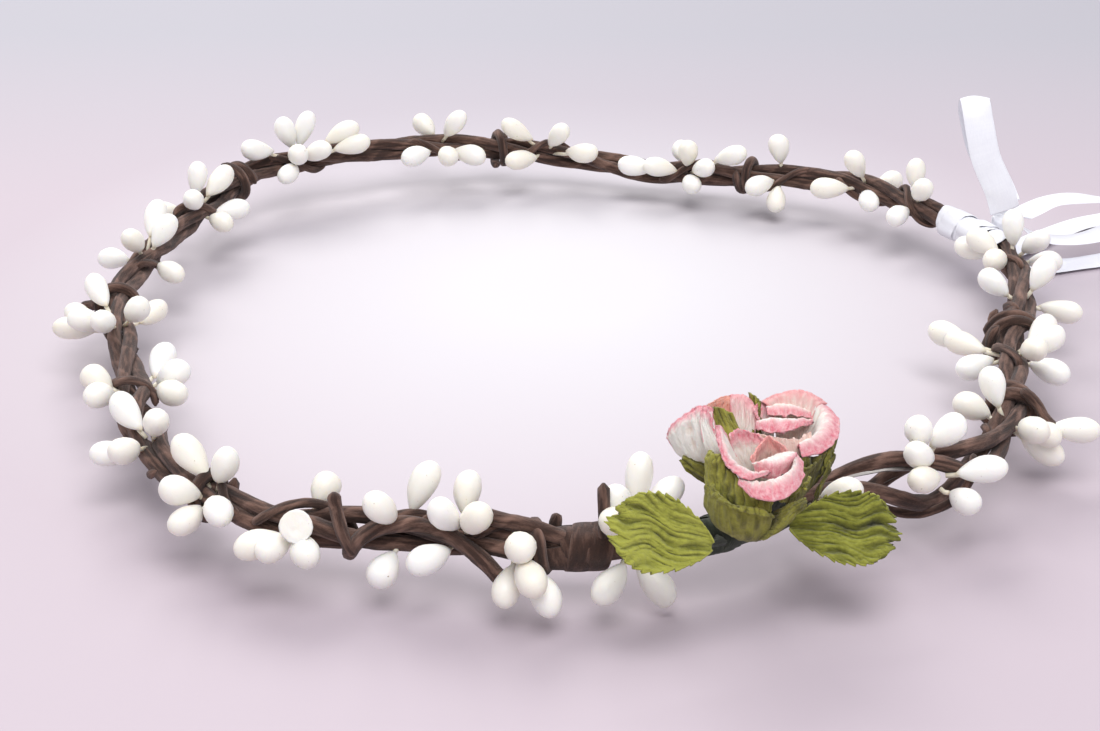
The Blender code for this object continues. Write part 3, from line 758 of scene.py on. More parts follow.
def thicken(made, thick):
    """Gives a paper sheet its two faces and its edge."""
    wall = made.modifiers.new("Paper thickness", "SOLIDIFY")
    wall.thickness = thick
    wall.offset = 0
    return made


PETAL_PAPER, petal_shader = shader_of("petal_paper", (0.9, 0.8, 0.75), 0.9)
petal_place = node(PETAL_PAPER, "Attribute", attribute_name="grain").outputs["Vector"]
petal_raised = node(PETAL_PAPER, "Attribute", attribute_name="raised").outputs["Fac"]
petal_blush = node(PETAL_PAPER, "Attribute", attribute_name="blush").outputs["Fac"]
petal_warmth = node(PETAL_PAPER, "Attribute", attribute_name="warmth").outputs["Fac"]
petal_fibres = stretched_noise(PETAL_PAPER, petal_place, (3000, 900, 1), 5, 0.8)
petal_mottle = stretched_noise(PETAL_PAPER, petal_place, (1300, 1000, 1), 5, 0.75)
petal_fuzz = stretched_noise(PETAL_PAPER, petal_place, (7000, 5500, 1), 3)
# Dye sits in the creases and fades away from the rim in blots; the paper between them stays cream, with painted
# shade that makes it darker and yellower in the creases.
fibres_and_painted_crease_shade = summed(PETAL_PAPER, (petal_fibres, 0.8), (petal_raised, 0.5))
cream = mixed(PETAL_PAPER, ramped(PETAL_PAPER, fibres_and_painted_crease_shade, 0.42, 0.72), (0.88, 0.69, 0.55), (0.99, 0.935, 0.86))
blots = ramped(PETAL_PAPER, petal_mottle, 0.38, 0.62)
dyed = mixed(PETAL_PAPER, blots, (0.82, 0.19, 0.25), (0.97, 0.56, 0.58))
dye = summed(PETAL_PAPER, (petal_blush, 1.1), (petal_mottle, 1.3), (petal_fibres, 0.7), (petal_raised, -0.35))
tinted = mixed(PETAL_PAPER, ramped(PETAL_PAPER, dye, 0.86, 1.42), cream, dyed)
streaks = ramped(PETAL_PAPER, petal_fibres, 0.35, 0.7)
coral = mixed(PETAL_PAPER, streaks, (0.72, 0.17, 0.11), (0.93, 0.55, 0.42))
link(PETAL_PAPER, mixed(PETAL_PAPER, petal_warmth, tinted, coral), petal_shader.inputs["Base Color"])
petal_shader.inputs["Specular IOR Level"].default_value = 0.25
petal_shader.inputs["Sheen Weight"].default_value = 0.3
petal_shader.inputs["Sheen Roughness"].default_value = 0.5
petal_shader.inputs["Subsurface Weight"].default_value = 0.15
petal_shader.inputs["Subsurface Radius"].default_value = (1.0, 0.5, 0.4)
petal_shader.inputs["Subsurface Scale"].default_value = 0.8 * MM
petal_nap = summed(PETAL_PAPER, (petal_fibres, 1.0), (petal_mottle, 0.6), (petal_fuzz, 0.5))
bumped(PETAL_PAPER, petal_shader, petal_nap, 0.3 * MM, 1.0)


def leaf_paper(name, dark, middle, light):
    """Dyed green paper, with painted light that makes its ridges yellow-green and painted shade that makes its
    folds nearly brown.
    """
    finish, shader = shader_of(name, middle, 0.85)
    place = node(finish, "Attribute", attribute_name="grain").outputs["Vector"]
    raised = node(finish, "Attribute", attribute_name="raised").outputs["Fac"]
    fibres = stretched_noise(finish, place, (1100, 2200, 1), 5, 0.75)
    blotches = stretched_noise(finish, place, (300, 300, 1), 3)
    fuzz = stretched_noise(finish, place, (6000, 6000, 1), 2)
    # The relief in raised paints light onto the ridges and shade into the folds, over the paper's own fibres
    # and blotches.
    grain_and_painted_shading = summed(finish, (raised, 0.95), (fibres, 0.55), (blotches, 0.35), (fuzz, 0.15))
    deep = mixed(finish, ramped(finish, grain_and_painted_shading, 0.55, 1.0), dark, middle)
    link(finish, mixed(finish, ramped(finish, grain_and_painted_shading, 0.98, 1.4), deep, light), shader.inputs["Base Color"])
    shader.inputs["Specular IOR Level"].default_value = 0.25
    shader.inputs["Sheen Weight"].default_value = 0.2
    shader.inputs["Sheen Roughness"].default_value = 0.6
    bumped(finish, shader, summed(finish, (fibres, 1.0), (fuzz, 0.5)), 0.25 * MM, 1.0)
    return finish


LEAF_PAPER = leaf_paper("leaf_paper", (0.026, 0.026, 0.001), (0.150, 0.156, 0.010), (0.38, 0.39, 0.055))
SEPAL_PAPER = leaf_paper("sepal_paper", (0.028, 0.022, 0.004), (0.145, 0.134, 0.014), (0.37, 0.355, 0.055))

ROOT_REACH = 3.2  # mm from the vine's centre to where a stem starts, between the strands
FOOT_REACH = 5.75  # mm from the vine's centre to a stem's foot, where it bends

FLOWERS_MIDDLE = Vector((30, -90, 0))  # the petals' and sepals' points are in mm from here
# Petals: where the pink starts, how coral it is, and its rows of points, from foot to rim.
LEFT_PETALS = (
    # the big outer petal on the left, seen from outside, its rim rolled out
    (0.66, 0.0, (
        ((-7.4, 4.4, 10.8), (-7.0, 2.8, 10.6), (-6.2, 2.2, 10.5), (-5.2, 2.1, 10.6), (-4.4, 2.6, 10.8)),
        ((-11.4, 6.0, 11.6), (-10.6, 3.2, 12.8), (-9.1, 1.4, 14.2), (-7.4, 0.8, 15.4), (-6.0, 1.2, 15.8)),
        ((-13.3, 8.0, 13.4), (-12.6, 5.8, 15.6), (-10.7, 3.8, 18.2), (-8.7, 2.8, 20.0), (-7.0, 3.0, 20.0)),
        ((-13.4, 8.8, 14.0), (-12.5, 7.4, 16.8), (-10.2, 5.6, 19.9), (-8.5, 4.4, 21.5), (-7.0, 4.2, 20.9)),
    )),
    # the narrow petal lapped over it, with a pink edge down its left side
    (0.62, 0.0, (
        ((-6.0, 1.8, 10.8), (-5.0, 1.6, 10.8), (-4.0, 2.0, 10.9), (-3.2, 2.6, 11.0), (-2.8, 3.4, 11.0)),
        ((-8.1, -0.2, 15.6), (-6.8, -0.3, 15.6), (-5.4, 0.2, 15.0), (-3.8, 1.0, 14.4), (-2.6, 2.0, 14.0)),
        ((-9.0, 2.2, 19.9), (-8.4, 1.8, 19.8), (-7.7, 1.5, 18.9), (-7.1, 1.2, 17.6), (-6.5, 0.8, 16.2)),
        ((-8.6, 3.8, 21.5), (-8.1, 3.4, 21.3), (-7.6, 3.0, 20.5), (-7.2, 2.4, 19.2), (-6.8, 1.6, 17.4)),
    )),
    # the right wall, standing up pale and creased
    (0.34, 0.12, (
        ((-5.0, 5.4, 10.8), (-4.2, 5.6, 10.7), (-3.6, 5.4, 10.7), (-3.1, 4.8, 10.7), (-2.9, 4.2, 10.8)),
        ((-4.0, 7.4, 15.4), (-2.6, 7.4, 15.2), (-1.4, 6.8, 15.0), (-0.6, 6.0, 14.8), (-0.2, 5.2, 14.6)),
        ((-3.8, 10.6, 19.2), (-2.4, 10.6, 19.2), (-1.2, 10.0, 18.8), (-0.2, 8.8, 18.0), (0.2, 7.2, 17.0)),
        ((-3.2, 12.4, 18.8), (-1.8, 12.6, 18.8), (-0.6, 11.8, 18.6), (0.2, 9.8, 17.8), (0.6, 7.4, 16.6)),
    )),
    # the back petal, deep coral inside, showing only over the left petal's rim
    (0.90, 0.95, (
        ((-7.0, 5.0, 10.8), (-6.6, 5.4, 10.6), (-6.0, 5.6, 10.6), (-5.3, 5.5, 10.6), (-4.8, 5.1, 10.8)),
        ((-9.4, 6.0, 15.0), (-8.6, 6.8, 16.0), (-7.0, 7.6, 16.4), (-5.0, 8.0, 16.2), (-3.2, 8.0, 15.6)),
        ((-8.2, 5.6, 19.2), (-7.3, 7.2, 19.2), (-6.0, 8.6, 19.1), (-4.4, 9.8, 18.9), (-2.8, 10.4, 18.6)),
        ((-8.0, 6.0, 19.9), (-7.1, 7.6, 20.0), (-6.0, 9.2, 20.0), (-4.4, 11.0, 19.8), (-2.8, 12.4, 19.3)),
    )),
    # the rolled middle, shaded
    (0.75, 0.6, (
        ((-6.0, 3.2, 11.0), (-6.6, 4.0, 11.0), (-6.4, 4.8, 11.0), (-5.6, 5.0, 11.0), (-5.0, 4.4, 11.0)),
        ((-6.4, 3.4, 14.4), (-7.2, 5.1, 14.6), (-6.6, 6.4, 14.8), (-5.0, 6.6, 14.8), (-4.0, 5.4, 14.6)),
        ((-6.6, 4.4, 17.0), (-7.4, 5.8, 17.4), (-6.6, 7.1, 17.8), (-4.6, 7.4, 17.6), (-3.4, 6.2, 17.0)),
    )),
)
FRONT_PETALS = (
    # the left petal: a trough that opens towards the eye, its rim rolled out and down
    (0.62, 0.0, (
        ((-1.6, -2.0, 11.6), (-1.8, -3.2, 11.4), (-1.4, -4.2, 11.2), (-0.6, -4.9, 11.2), (0.4, -5.0, 11.2)),
        ((-3.8, -1.6, 16.6), (-4.0, -4.4, 15.8), (-3.2, -6.4, 15.2), (-1.4, -7.4, 15.0), (0.6, -7.0, 15.2)),
        ((-6.1, -2.2, 21.2), (-5.8, -6.0, 20.2), (-4.4, -8.8, 18.9), (-1.8, -9.8, 17.9), (0.5, -9.0, 17.6)),
        ((-7.0, -2.8, 21.8), (-6.8, -6.8, 20.6), (-5.7, -10.0, 19.0), (-2.8, -11.6, 17.7), (0.6, -9.5, 17.5)),
    )),
    # the back petal, pale, creased from foot to rim, with a peak
    (0.62, 0.0, (
        ((-1.2, -2.0, 11.4), (-1.0, -1.7, 11.2), (-0.6, -1.5, 11.2), (-0.1, -1.5, 11.2), (0.3, -1.7, 11.4)),
        ((-4.0, -2.2, 16.0), (-3.0, -1.4, 15.8), (-1.6, -0.9, 15.6), (-0.2, -0.8, 15.4), (1.4, -1.4, 15.2)),
        ((-5.1, -2.2, 20.0), (-3.8, -1.0, 20.3), (-2.2, -0.2, 19.6), (-0.6, 0.1, 18.9), (1.2, -0.6, 17.8)),
    )),
    # the lower outer petal: it runs out from under the others, white and creased, and bends down to a pink rim
    (0.60, 0.0, (
        ((-1.4, -4.4, 10.6), (-0.6, -5.2, 10.4), (0.6, -5.4, 10.4), (1.8, -4.8, 10.4), (2.4, -3.6, 10.6)),
        ((-3.2, -8.4, 15.4), (-1.4, -9.4, 15.2), (1.0, -9.4, 15.4), (3.4, -7.6, 15.6), (4.2, -4.6, 16.0)),
        ((-4.0, -10.8, 17.4), (-1.8, -11.8, 17.2), (1.2, -11.6, 17.6), (4.2, -8.8, 18.0), (4.8, -4.4, 18.2)),
        ((-4.3, -12.2, 17.2), (-2.0, -14.3, 16.2), (1.8, -14.6, 15.9), (5.4, -10.4, 16.3), (6.2, -5.2, 17.0)),
    )),
    # the bud's back wall, coral inside, with a peak
    (0.55, 0.55, (
        ((-0.6, -4.4, 12.0), (-0.2, -3.6, 12.0), (0.6, -3.0, 12.0), (1.4, -3.4, 12.0), (1.8, -4.2, 12.0)),
        ((-1.2, -6.0, 15.8), (-0.6, -3.8, 16.2), (0.8, -2.4, 16.4), (2.4, -3.0, 16.2), (3.6, -4.8, 15.8)),
        ((-2.0, -6.2, 18.0), (-0.8, -3.9, 18.9), (0.9, -1.4, 19.4), (2.6, -2.6, 19.0), (4.0, -4.2, 18.6)),
    )),
    # the bud's front fold, closed like a lip
    (0.22, 0.0, (
        ((-1.4, -6.4, 17.2), (0.0, -5.9, 17.7), (1.6, -5.3, 18.1), (3.0, -4.8, 18.3), (4.4, -4.4, 18.3)),
        ((-1.8, -6.9, 17.7), (0.0, -7.1, 18.2), (1.7, -7.1, 18.5), (3.3, -6.3, 18.6), (4.8, -5.0, 18.5)),
        ((-1.7, -7.1, 17.6), (0.0, -7.9, 17.9), (1.9, -8.2, 18.1), (3.7, -7.3, 18.3), (5.0, -5.4, 18.3)),
        ((-1.2, -7.4, 16.2), (0.0, -8.2, 15.8), (1.7, -8.4, 15.8), (3.2, -7.4, 16.0), (4.4, -5.8, 16.4)),
    )),
)
RIGHT_PETALS = (
    # the outer band on the right, bent over outwards
    (0.58, 0.0, (
        ((6.2, 5.4, 10.4), (6.5, 5.1, 10.3), (6.5, 4.7, 10.3), (6.3, 4.3, 10.3), (5.9, 4.1, 10.4)),
        ((8.2, 8.0, 14.6), (8.8, 6.6, 14.4), (8.6, 4.8, 14.2), (7.6, 3.4, 14.0), (6.0, 2.6, 13.8)),
        ((9.6, 10.2, 18.4), (10.8, 8.2, 17.9), (10.4, 5.0, 17.4), (8.6, 2.6, 16.8), (6.2, 1.4, 16.2)),
        ((10.8, 11.6, 18.2), (13.0, 9.0, 16.8), (12.8, 4.8, 16.1), (10.4, 1.2, 15.2), (6.4, -0.6, 15.0)),
    )),
    # the back of the band, coral inside
    (0.45, 0.30, (
        ((4.8, 5.4, 10.4), (5.1, 5.6, 10.3), (5.5, 5.7, 10.3), (5.9, 5.6, 10.3), (6.2, 5.4, 10.4)),
        ((3.4, 7.4, 14.6), (4.4, 8.2, 14.8), (6.0, 8.4, 14.8), (7.4, 8.0, 14.8), (8.2, 7.2, 14.6)),
        ((2.0, 9.4, 18.6), (4.0, 10.6, 19.2), (6.8, 11.2, 19.5), (8.8, 10.8, 19.1), (10.2, 9.8, 18.4)),
        ((0.8, 10.4, 18.6), (3.4, 12.4, 18.9), (6.8, 13.2, 19.3), (9.6, 13.0, 18.8), (11.6, 11.2, 18.0)),
    )),
    # the lower fold of the heart, a flat lip across the flower
    (0.25, 0.0, (
        ((8.8, 7.8, 17.0), (7.0, 7.8, 17.3), (4.6, 7.2, 17.7), (2.2, 6.8, 18.0), (0.0, 5.4, 18.2)),
        ((9.0, 7.3, 17.4), (7.0, 6.6, 17.9), (4.6, 5.8, 18.1), (2.0, 5.2, 18.5), (-0.2, 4.6, 18.4)),
        ((8.9, 6.8, 17.0), (6.8, 5.4, 17.2), (4.4, 4.0, 17.1), (1.9, 3.4, 17.3), (-0.1, 3.8, 17.9)),
    )),
    # the upper fold
    (0.30, 0.1, (
        ((8.8, 9.0, 17.4), (7.4, 9.6, 18.0), (5.6, 10.0, 18.3), (3.6, 10.0, 18.6), (1.9, 9.4, 18.4)),
        ((8.9, 8.6, 17.8), (7.4, 8.8, 18.4), (5.6, 9.0, 18.8), (3.6, 8.8, 19.0), (1.7, 8.4, 18.7)),
        ((8.8, 8.2, 17.2), (7.4, 7.9, 17.5), (5.6, 7.8, 17.8), (3.6, 7.5, 18.0), (1.9, 7.4, 18.2)),
    )),
    # the left end of the band
    (0.40, 0.0, (
        ((3.4, 6.6, 13.0), (3.0, 6.4, 13.0), (2.8, 6.2, 13.0), (2.7, 5.8, 13.0), (2.7, 5.4, 13.0)),
        ((2.8, 8.4, 16.6), (1.9, 8.2, 16.6), (1.2, 7.7, 16.6), (0.9, 7.0, 16.6), (1.0, 6.2, 16.6)),
        ((3.2, 10.6, 19.3), (1.8, 10.8, 19.3), (0.5, 9.9, 19.0), (0.1, 8.4, 18.6), (0.5, 7.2, 18.0)),
    )),
    # the shaded wall under the folds
    (1.2, 0.5, (
        ((3.0, 3.4, 11.6), (4.0, 2.2, 11.4), (5.4, 1.8, 11.2), (6.8, 2.2, 11.2), (7.6, 3.6, 11.4)),
        ((1.0, 2.6, 14.4), (3.0, 1.7, 14.0), (5.2, 1.4, 13.8), (7.2, 2.0, 13.8), (8.4, 3.6, 14.0)),
        ((0.0, 3.2, 17.4), (2.6, 2.8, 16.9), (4.9, 3.0, 16.4), (6.8, 3.6, 16.2), (8.4, 5.4, 16.4)),
    )),
)
# Sepals: how yellow, and the rows of points in mm, from foot to tip.
LEFT_SEPALS = (
    (-0.2, (
        ((-7.1, 1.2, 9.2), (-6.6, 0.6, 9.4), (-6.1, 0.5, 9.8), (-5.7, 0.7, 10.2), (-5.4, 1.2, 10.6)),
        ((-9.4, 2.0, 10.4), (-9.0, 1.2, 10.9), (-8.6, 0.8, 11.5), (-8.2, 0.8, 12.2), (-7.9, 1.2, 12.9)),
        ((-11.8, 3.7, 12.4), (-11.6, 3.3, 12.5), (-11.5, 3.1, 12.6), (-11.4, 3.1, 12.8), (-11.3, 3.3, 13.1)),
    )),
    (0.0, (
        ((-5.4, 3.1, 13.2), (-4.6, 2.9, 13.2), (-3.8, 2.8, 13.2), (-3.0, 3.0, 13.2), (-2.2, 3.4, 13.2)),
        ((-6.4, 3.0, 17.4), (-5.4, 2.7, 17.2), (-4.4, 2.6, 17.0), (-3.3, 2.8, 16.6), (-2.2, 3.2, 16.2)),
        ((-7.0, 4.6, 21.0), (-6.5, 4.5, 21.1), (-5.9, 4.5, 21.0), (-5.1, 4.5, 20.5), (-4.2, 4.6, 19.9)),
    )),
    (-0.1, (
        ((-1.6, 4.8, 10.4), (-1.2, 5.2, 10.4), (-0.8, 5.8, 10.4), (-0.6, 6.4, 10.4), (-0.6, 7.0, 10.4)),
        ((0.4, 5.6, 14.6), (0.9, 6.4, 14.8), (1.1, 7.4, 15.0), (1.0, 8.6, 15.0), (0.6, 9.6, 15.0)),
        ((0.4, 7.6, 17.6), (1.0, 8.8, 18.6), (1.0, 10.4, 19.2), (0.4, 11.6, 19.5), (-0.6, 12.6, 19.6)),
    )),
)
FRONT_SEPALS = (
    # a sepal rolled up like a finger, on the left
    (0.16, (
        ((-6.8, -5.2, 8.0), (-7.0, -7.2, 7.8), (-5.8, -8.6, 7.8), (-4.2, -8.8, 8.0), (-3.2, -7.6, 8.4)),
        ((-8.0, -5.6, 13.0), (-8.1, -7.4, 13.0), (-7.0, -8.6, 13.2), (-5.6, -8.6, 13.4), (-4.8, -7.4, 13.6)),
        ((-8.1, -5.4, 17.6), (-8.3, -6.7, 17.6), (-7.5, -7.8, 17.8), (-6.3, -7.8, 18.0), (-5.7, -6.8, 18.0)),
        ((-7.6, -5.8, 19.0), (-7.7, -6.5, 19.2), (-7.2, -7.1, 19.4), (-6.6, -7.1, 19.4), (-6.3, -6.6, 19.2)),
    )),
    # the broad one below it
    (0.0, (
        ((-4.8, -5.4, 6.3), (-4.6, -7.4, 5.7), (-3.2, -8.8, 5.3), (-1.4, -9.2, 5.3), (0.2, -8.6, 5.5)),
        ((-8.6, -7.0, 9.7), (-7.2, -10.0, 8.7), (-4.6, -11.6, 8.1), (-1.8, -12.0, 7.9), (0.8, -11.4, 7.9)),
        ((-9.1, -7.2, 13.5), (-7.7, -10.6, 13.3), (-5.0, -12.6, 13.3), (-1.8, -13.4, 13.1), (1.0, -13.2, 11.9)),
        ((-8.4, -7.4, 15.6), (-7.1, -10.5, 14.6), (-4.6, -12.6, 13.7), (-1.6, -13.6, 12.9), (1.2, -13.9, 12.3)),
    )),
    # the middle one, tucked under the petals
    (0.05, (
        ((-5.2, -8.6, 9.4), (-4.2, -9.8, 9.2), (-2.8, -10.4, 9.2), (-1.4, -10.4, 9.2), (-0.2, -9.8, 9.2)),
        ((-6.6, -8.4, 13.6), (-5.0, -10.4, 13.4), (-3.0, -12.0, 13.0), (-1.0, -12.4, 12.6), (0.6, -11.6, 12.4)),
        ((-6.6, -7.6, 17.4), (-5.0, -9.2, 17.6), (-3.2, -10.8, 16.8), (-1.0, -11.8, 15.4), (1.0, -11.4, 14.8)),
    )),
    # the pointed one on the right
    (0.05, (
        ((-1.6, -9.2, 6.3), (-0.6, -9.4, 7.1), (0.2, -9.4, 8.1), (0.8, -9.2, 9.1), (1.2, -8.8, 10.1)),
        ((0.2, -12.4, 7.7), (1.0, -13.0, 9.1), (1.8, -13.0, 10.7), (2.2, -12.6, 12.1), (2.6, -12.0, 13.3)),
        ((3.2, -12.4, 9.9), (3.6, -12.6, 10.9), (4.0, -12.4, 11.9), (4.4, -12.0, 12.9), (4.8, -11.4, 13.9)),
        ((6.2, -10.4, 12.3), (6.3, -10.4, 12.6), (6.4, -10.4, 12.9), (6.4, -10.2, 13.2), (6.4, -10.0, 13.5)),
    )),
    # the one behind it, up the right side
    (-0.12, (
        ((1.4, -7.0, 6.4), (2.2, -6.6, 6.4), (2.9, -6.0, 6.6), (3.4, -5.4, 6.8), (3.6, -4.8, 7.0)),
        ((3.2, -9.2, 10.4), (4.4, -8.4, 10.6), (5.4, -7.4, 10.8), (6.0, -6.2, 11.0), (6.2, -5.2, 11.2)),
        ((3.8, -10.4, 13.6), (5.4, -9.2, 14.2), (6.8, -7.8, 14.6), (7.6, -6.4, 14.6), (7.8, -5.2, 14.2)),
    )),
)
RIGHT_SEPALS = (
    (-0.1, (
        ((3.4, -1.6, 7.6), (4.6, -1.2, 7.4), (5.8, -0.2, 7.4), (6.8, 1.2, 7.4), (7.4, 2.8, 7.6)),
        ((3.4, -2.8, 10.8), (5.2, -2.2, 10.6), (7.0, -0.8, 10.6), (8.6, 1.4, 10.6), (9.4, 3.6, 10.8)),
        ((4.8, -3.6, 13.6), (6.4, -2.8, 14.0), (8.2, -1.2, 14.0), (9.8, 1.0, 13.8), (10.8, 3.6, 13.4)),
    )),
    (-0.1, (
        ((7.2, 1.8, 6.6), (7.8, 2.6, 6.6), (8.2, 3.6, 6.6), (8.4, 4.6, 6.6), (8.2, 5.6, 6.6)),
        ((10.0, 1.4, 10.8), (10.8, 2.6, 11.0), (11.2, 4.2, 11.2), (11.2, 5.8, 11.2), (11.0, 7.4, 11.2)),
        ((11.2, 1.8, 14.4), (12.2, 3.2, 15.2), (12.7, 4.8, 15.6), (12.8, 6.2, 15.4), (12.4, 7.6, 14.8)),
    )),
    (-0.1, (
        ((3.0, 3.4, 8.0), (2.4, 4.4, 8.0), (2.2, 5.6, 8.0), (2.6, 6.6, 8.0), (3.4, 7.2, 8.0)),
        ((1.6, 2.8, 12.0), (0.8, 4.6, 12.0), (0.8, 6.6, 12.0), (1.6, 8.2, 12.0), (3.2, 9.2, 12.0)),
        ((1.2, 2.0, 15.6), (0.2, 4.0, 16.0), (0.0, 6.4, 16.2), (0.8, 8.4, 16.0), (2.6, 10.0, 15.6)),
    )),
    # the shaded wall under the outer band
    (-0.42, (
        ((4.6, 0.4, 8.4), (5.6, 0.1, 8.2), (6.8, 0.4, 8.2), (8.0, 1.2, 8.4), (8.8, 2.4, 8.6)),
        ((4.4, -0.2, 11.8), (5.8, -0.5, 11.6), (7.4, 0.0, 11.6), (8.9, 1.1, 11.6), (10.0, 2.8, 11.8)),
        ((4.2, 0.0, 15.2), (6.0, -0.2, 15.0), (8.0, 0.4, 14.8), (9.8, 1.8, 14.8), (11.0, 3.8, 15.0)),
    )),
    # its green edge, low on the right
    (-0.2, (
        ((8.4, 0.0, 5.6), (9.0, 0.6, 5.8), (9.4, 1.2, 6.2), (9.6, 1.8, 6.6), (9.8, 2.4, 7.0)),
        ((9.8, -0.4, 8.8), (10.4, 0.4, 9.2), (10.8, 1.2, 9.6), (11.0, 2.0, 10.0), (11.2, 2.8, 10.4)),
        ((10.8, 0.0, 12.0), (11.4, 0.8, 12.8), (11.8, 1.8, 13.4), (12.2, 2.8, 13.8), (12.4, 3.8, 14.0)),
    )),
)

# Each rose: its name, the hoop angle and clock hour of its stem's foot, the way in mm from there to the base of
# its petals, and its paper.
ROSES = (
    ("left", 286.6, 12.0, (-1.6, 1.4, 4.6), LEFT_PETALS, LEFT_SEPALS),
    ("front", 288.3, 1.8, (-0.3, -2.4, 5.6), FRONT_PETALS, FRONT_SEPALS),
    ("right", 291.6, 1.0, (1.6, 0.4, 4.6), RIGHT_PETALS, RIGHT_SEPALS),
)
PETAL_CREASE = 0.42  # mm
SEPAL_CREASE = 0.85  # mm
PAPER_THICK = 0.3 * MM
ROSE_STEM_RADIUS = 1.15 * MM


def rose(name, angle, hour, way, petals, sepals, seed):
    body = f"rose_{name}"
    corolla = bmesh.new()
    for number, (pink_from, warm, rows) in enumerate(petals):
        paper_sheet(corolla, rows, (64, 48), PETAL_CREASE, seed * 10 + number, pink_from, warm)
    paper = thicken(piece(f"{body}_paper", corolla, PETAL_PAPER), PAPER_THICK)
    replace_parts(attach(paper, body), f"{body}_petals", f"{body}_heart")
    green = bmesh.new()
    for number, (tone, rows) in enumerate(sepals):
        paper_sheet(green, rows, (56, 48), SEPAL_CREASE, seed * 10 + number + 5, tone=tone)
    leafy = thicken(piece(f"{body}_sepal_paper", green, SEPAL_PAPER), PAPER_THICK)
    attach(leafy, body)
    if name == "front":
        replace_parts(leafy, "rose_front_sepals")
    foot = near_vine(angle, hour, FOOT_REACH)
    base = foot + Vector(way) * MM
    tip = base + 1.5 * MM * (base - foot).normalized()
    path = [near_vine(angle, hour, ROOT_REACH), foot, foot.lerp(base, 0.6), base, tip]
    stem = bmesh.new()
    outline = crepe(ROSE_STEM_RADIUS, seed, path_length(path))
    tube(stem, frames(path, [UP.cross(base - foot)] * len(path)), outline, 16)
    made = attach(piece(f"{body}_stem", stem, FLORAL_TAPE), body)
    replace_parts(made, f"{body}_calyx")


for seed, values in enumerate(ROSES, 1):
    rose(*values, seed)

# ---- leaves ----
# Each leaf is cut from thick green paper with pinked edges and pressed into a fan of ridges. A taped wire,
# stuck on from behind, holds it to the vine.

# name: its foot's hoop angle and clock hour, its base, a point that it aims at, the way it faces, and its tone.
LEAVES = {
    "left": (284.8, 2.4, (22.1, -103.2, 7.0), (6.0, -104.6, 12.0), (0.05, -0.84, 0.54), 0.16),
    "right": (293.6, 2.6, (34.9, -93.8, 4.6), (51.4, -95.6, 4.2), (0, -0.62, 0.78), -0.10),
}
LEAF_LENGTH = 17.2 * MM
LEAF_WIDTH = 12.4 * MM
LEAF_STEM_RADIUS = 0.6 * MM


def leaf_outline(share, side, seed):
    """Where a place on the blade is, in shares of its length and half width. It fans out to three lobes."""
    wide = 0.09 + 0.91 * math.sin(math.pi / 2 * min(1, share / 0.58)) ** 0.8
    wide -= 0.42 * max(0, (share - 0.58) / 0.42) ** 2.2
    pinked = 1 - (share * 9.5 + 0.35 * noise.noise(Vector((share * 7, math.copysign(3, side), seed)))) % 1
    wide *= 1 + 0.05 * noise.noise(Vector((share * 4, math.copysign(2, side), seed)))
    wide -= 0.085 * pinked * abs(side) ** 6 * min(1, share * 4)
    notches = sum(math.exp(-((side - place) / 0.10) ** 2) for place in (-0.42, 0.36))
    snipped = (side * 4.3 + 0.4 * noise.noise(Vector((side * 5, 8, seed)))) % 1
    end = 1 - 0.13 * side * side - 0.11 * notches - 0.055 * snipped
    return share * (1 - (1 - end) * share ** 3), side * wide


def leaf(name, angle, hour, base, tip, face, tone, seed):
    base, tip, face = Vector(base) * MM, Vector(tip) * MM, Vector(face)
    length = (tip - base).normalized()
    across = face.cross(length).normalized()
    normal = length.cross(across)
    blade = bmesh.new()
    grain = blade.verts.layers.float_vector.new("grain")
    raised = blade.verts.layers.float.new("raised")
    for vert in bmesh.ops.create_grid(blade, x_segments=120, y_segments=100, size=1)["verts"]:
        share, side = (vert.co.x + 1) / 2, vert.co.y
        far, near = leaf_outline(share, side, seed)
        x, y = LEAF_LENGTH * far, LEAF_WIDTH / 2 * near
        # Pressed ridges start at the foot, fan out, and bow like the fingers of a shell.
        fan = near * 2.3 - 0.9 * share * near + 0.5 * noise.noise(Vector((x, y, seed * MM)) / (5 * MM))
        ridge = 1 - 2.2 * abs(noise.noise(Vector((fan * 2.1, share * 1.3, seed))))
        fold = 1 - 2.2 * abs(noise.noise(Vector((fan * 4.4, share * 3.2, seed + 3))))
        fine = noise.noise(Vector((x / (0.8 * MM), y / (0.45 * MM), seed + 8)))
        vein = -math.exp(-(y / (0.4 * MM)) ** 2) * (1 - share)
        height = 0.55 * ridge + 0.38 * fold + 0.16 * fine + 0.5 * vein
        wave = noise.noise(Vector((x, y, seed * MM)) / (7 * MM))
        cup = 0.8 * side ** 2 + 1.2 * math.sin(math.pi * share) + 1.2 * wave
        lift = (cup + 0.85 * height * min(1, 0.3 + 2 * share)) * MM
        vert.co = base + x * length + y * across + lift * normal
        vert[grain] = (x, y, seed * MM)
        # raised holds the ridges' relief, from which leaf_paper paints light on the ridges and shade in the
        # folds.
        vert[raised] = min(1, max(0, 0.34 + 0.52 * height + tone + 0.25 * max(0, abs(side) - 0.94) / 0.06))
    made = thicken(piece(f"leaf_{name}_paper", blade, LEAF_PAPER), PAPER_THICK)
    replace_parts(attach(made, f"leaf_{name}"), f"leaf_{name}_blade")
    foot = near_vine(angle, hour, FOOT_REACH)
    end = base + 3 * MM * length - 0.45 * MM * normal
    path = [near_vine(angle, hour, ROOT_REACH), foot, foot.lerp(end, 0.5) - 0.5 * MM * UP, end]
    wire = bmesh.new()
    tube(wire, frames(path, [UP] * len(path)), crepe(LEAF_STEM_RADIUS, seed, path_length(path)), 12)
    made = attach(piece(f"leaf_{name}_stem", wire, FLORAL_TAPE), f"leaf_{name}")
    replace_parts(made, f"leaf_{name}_wire")


for seed, (name, values) in enumerate(LEAVES.items(), 3):
    leaf(name, *values, seed)

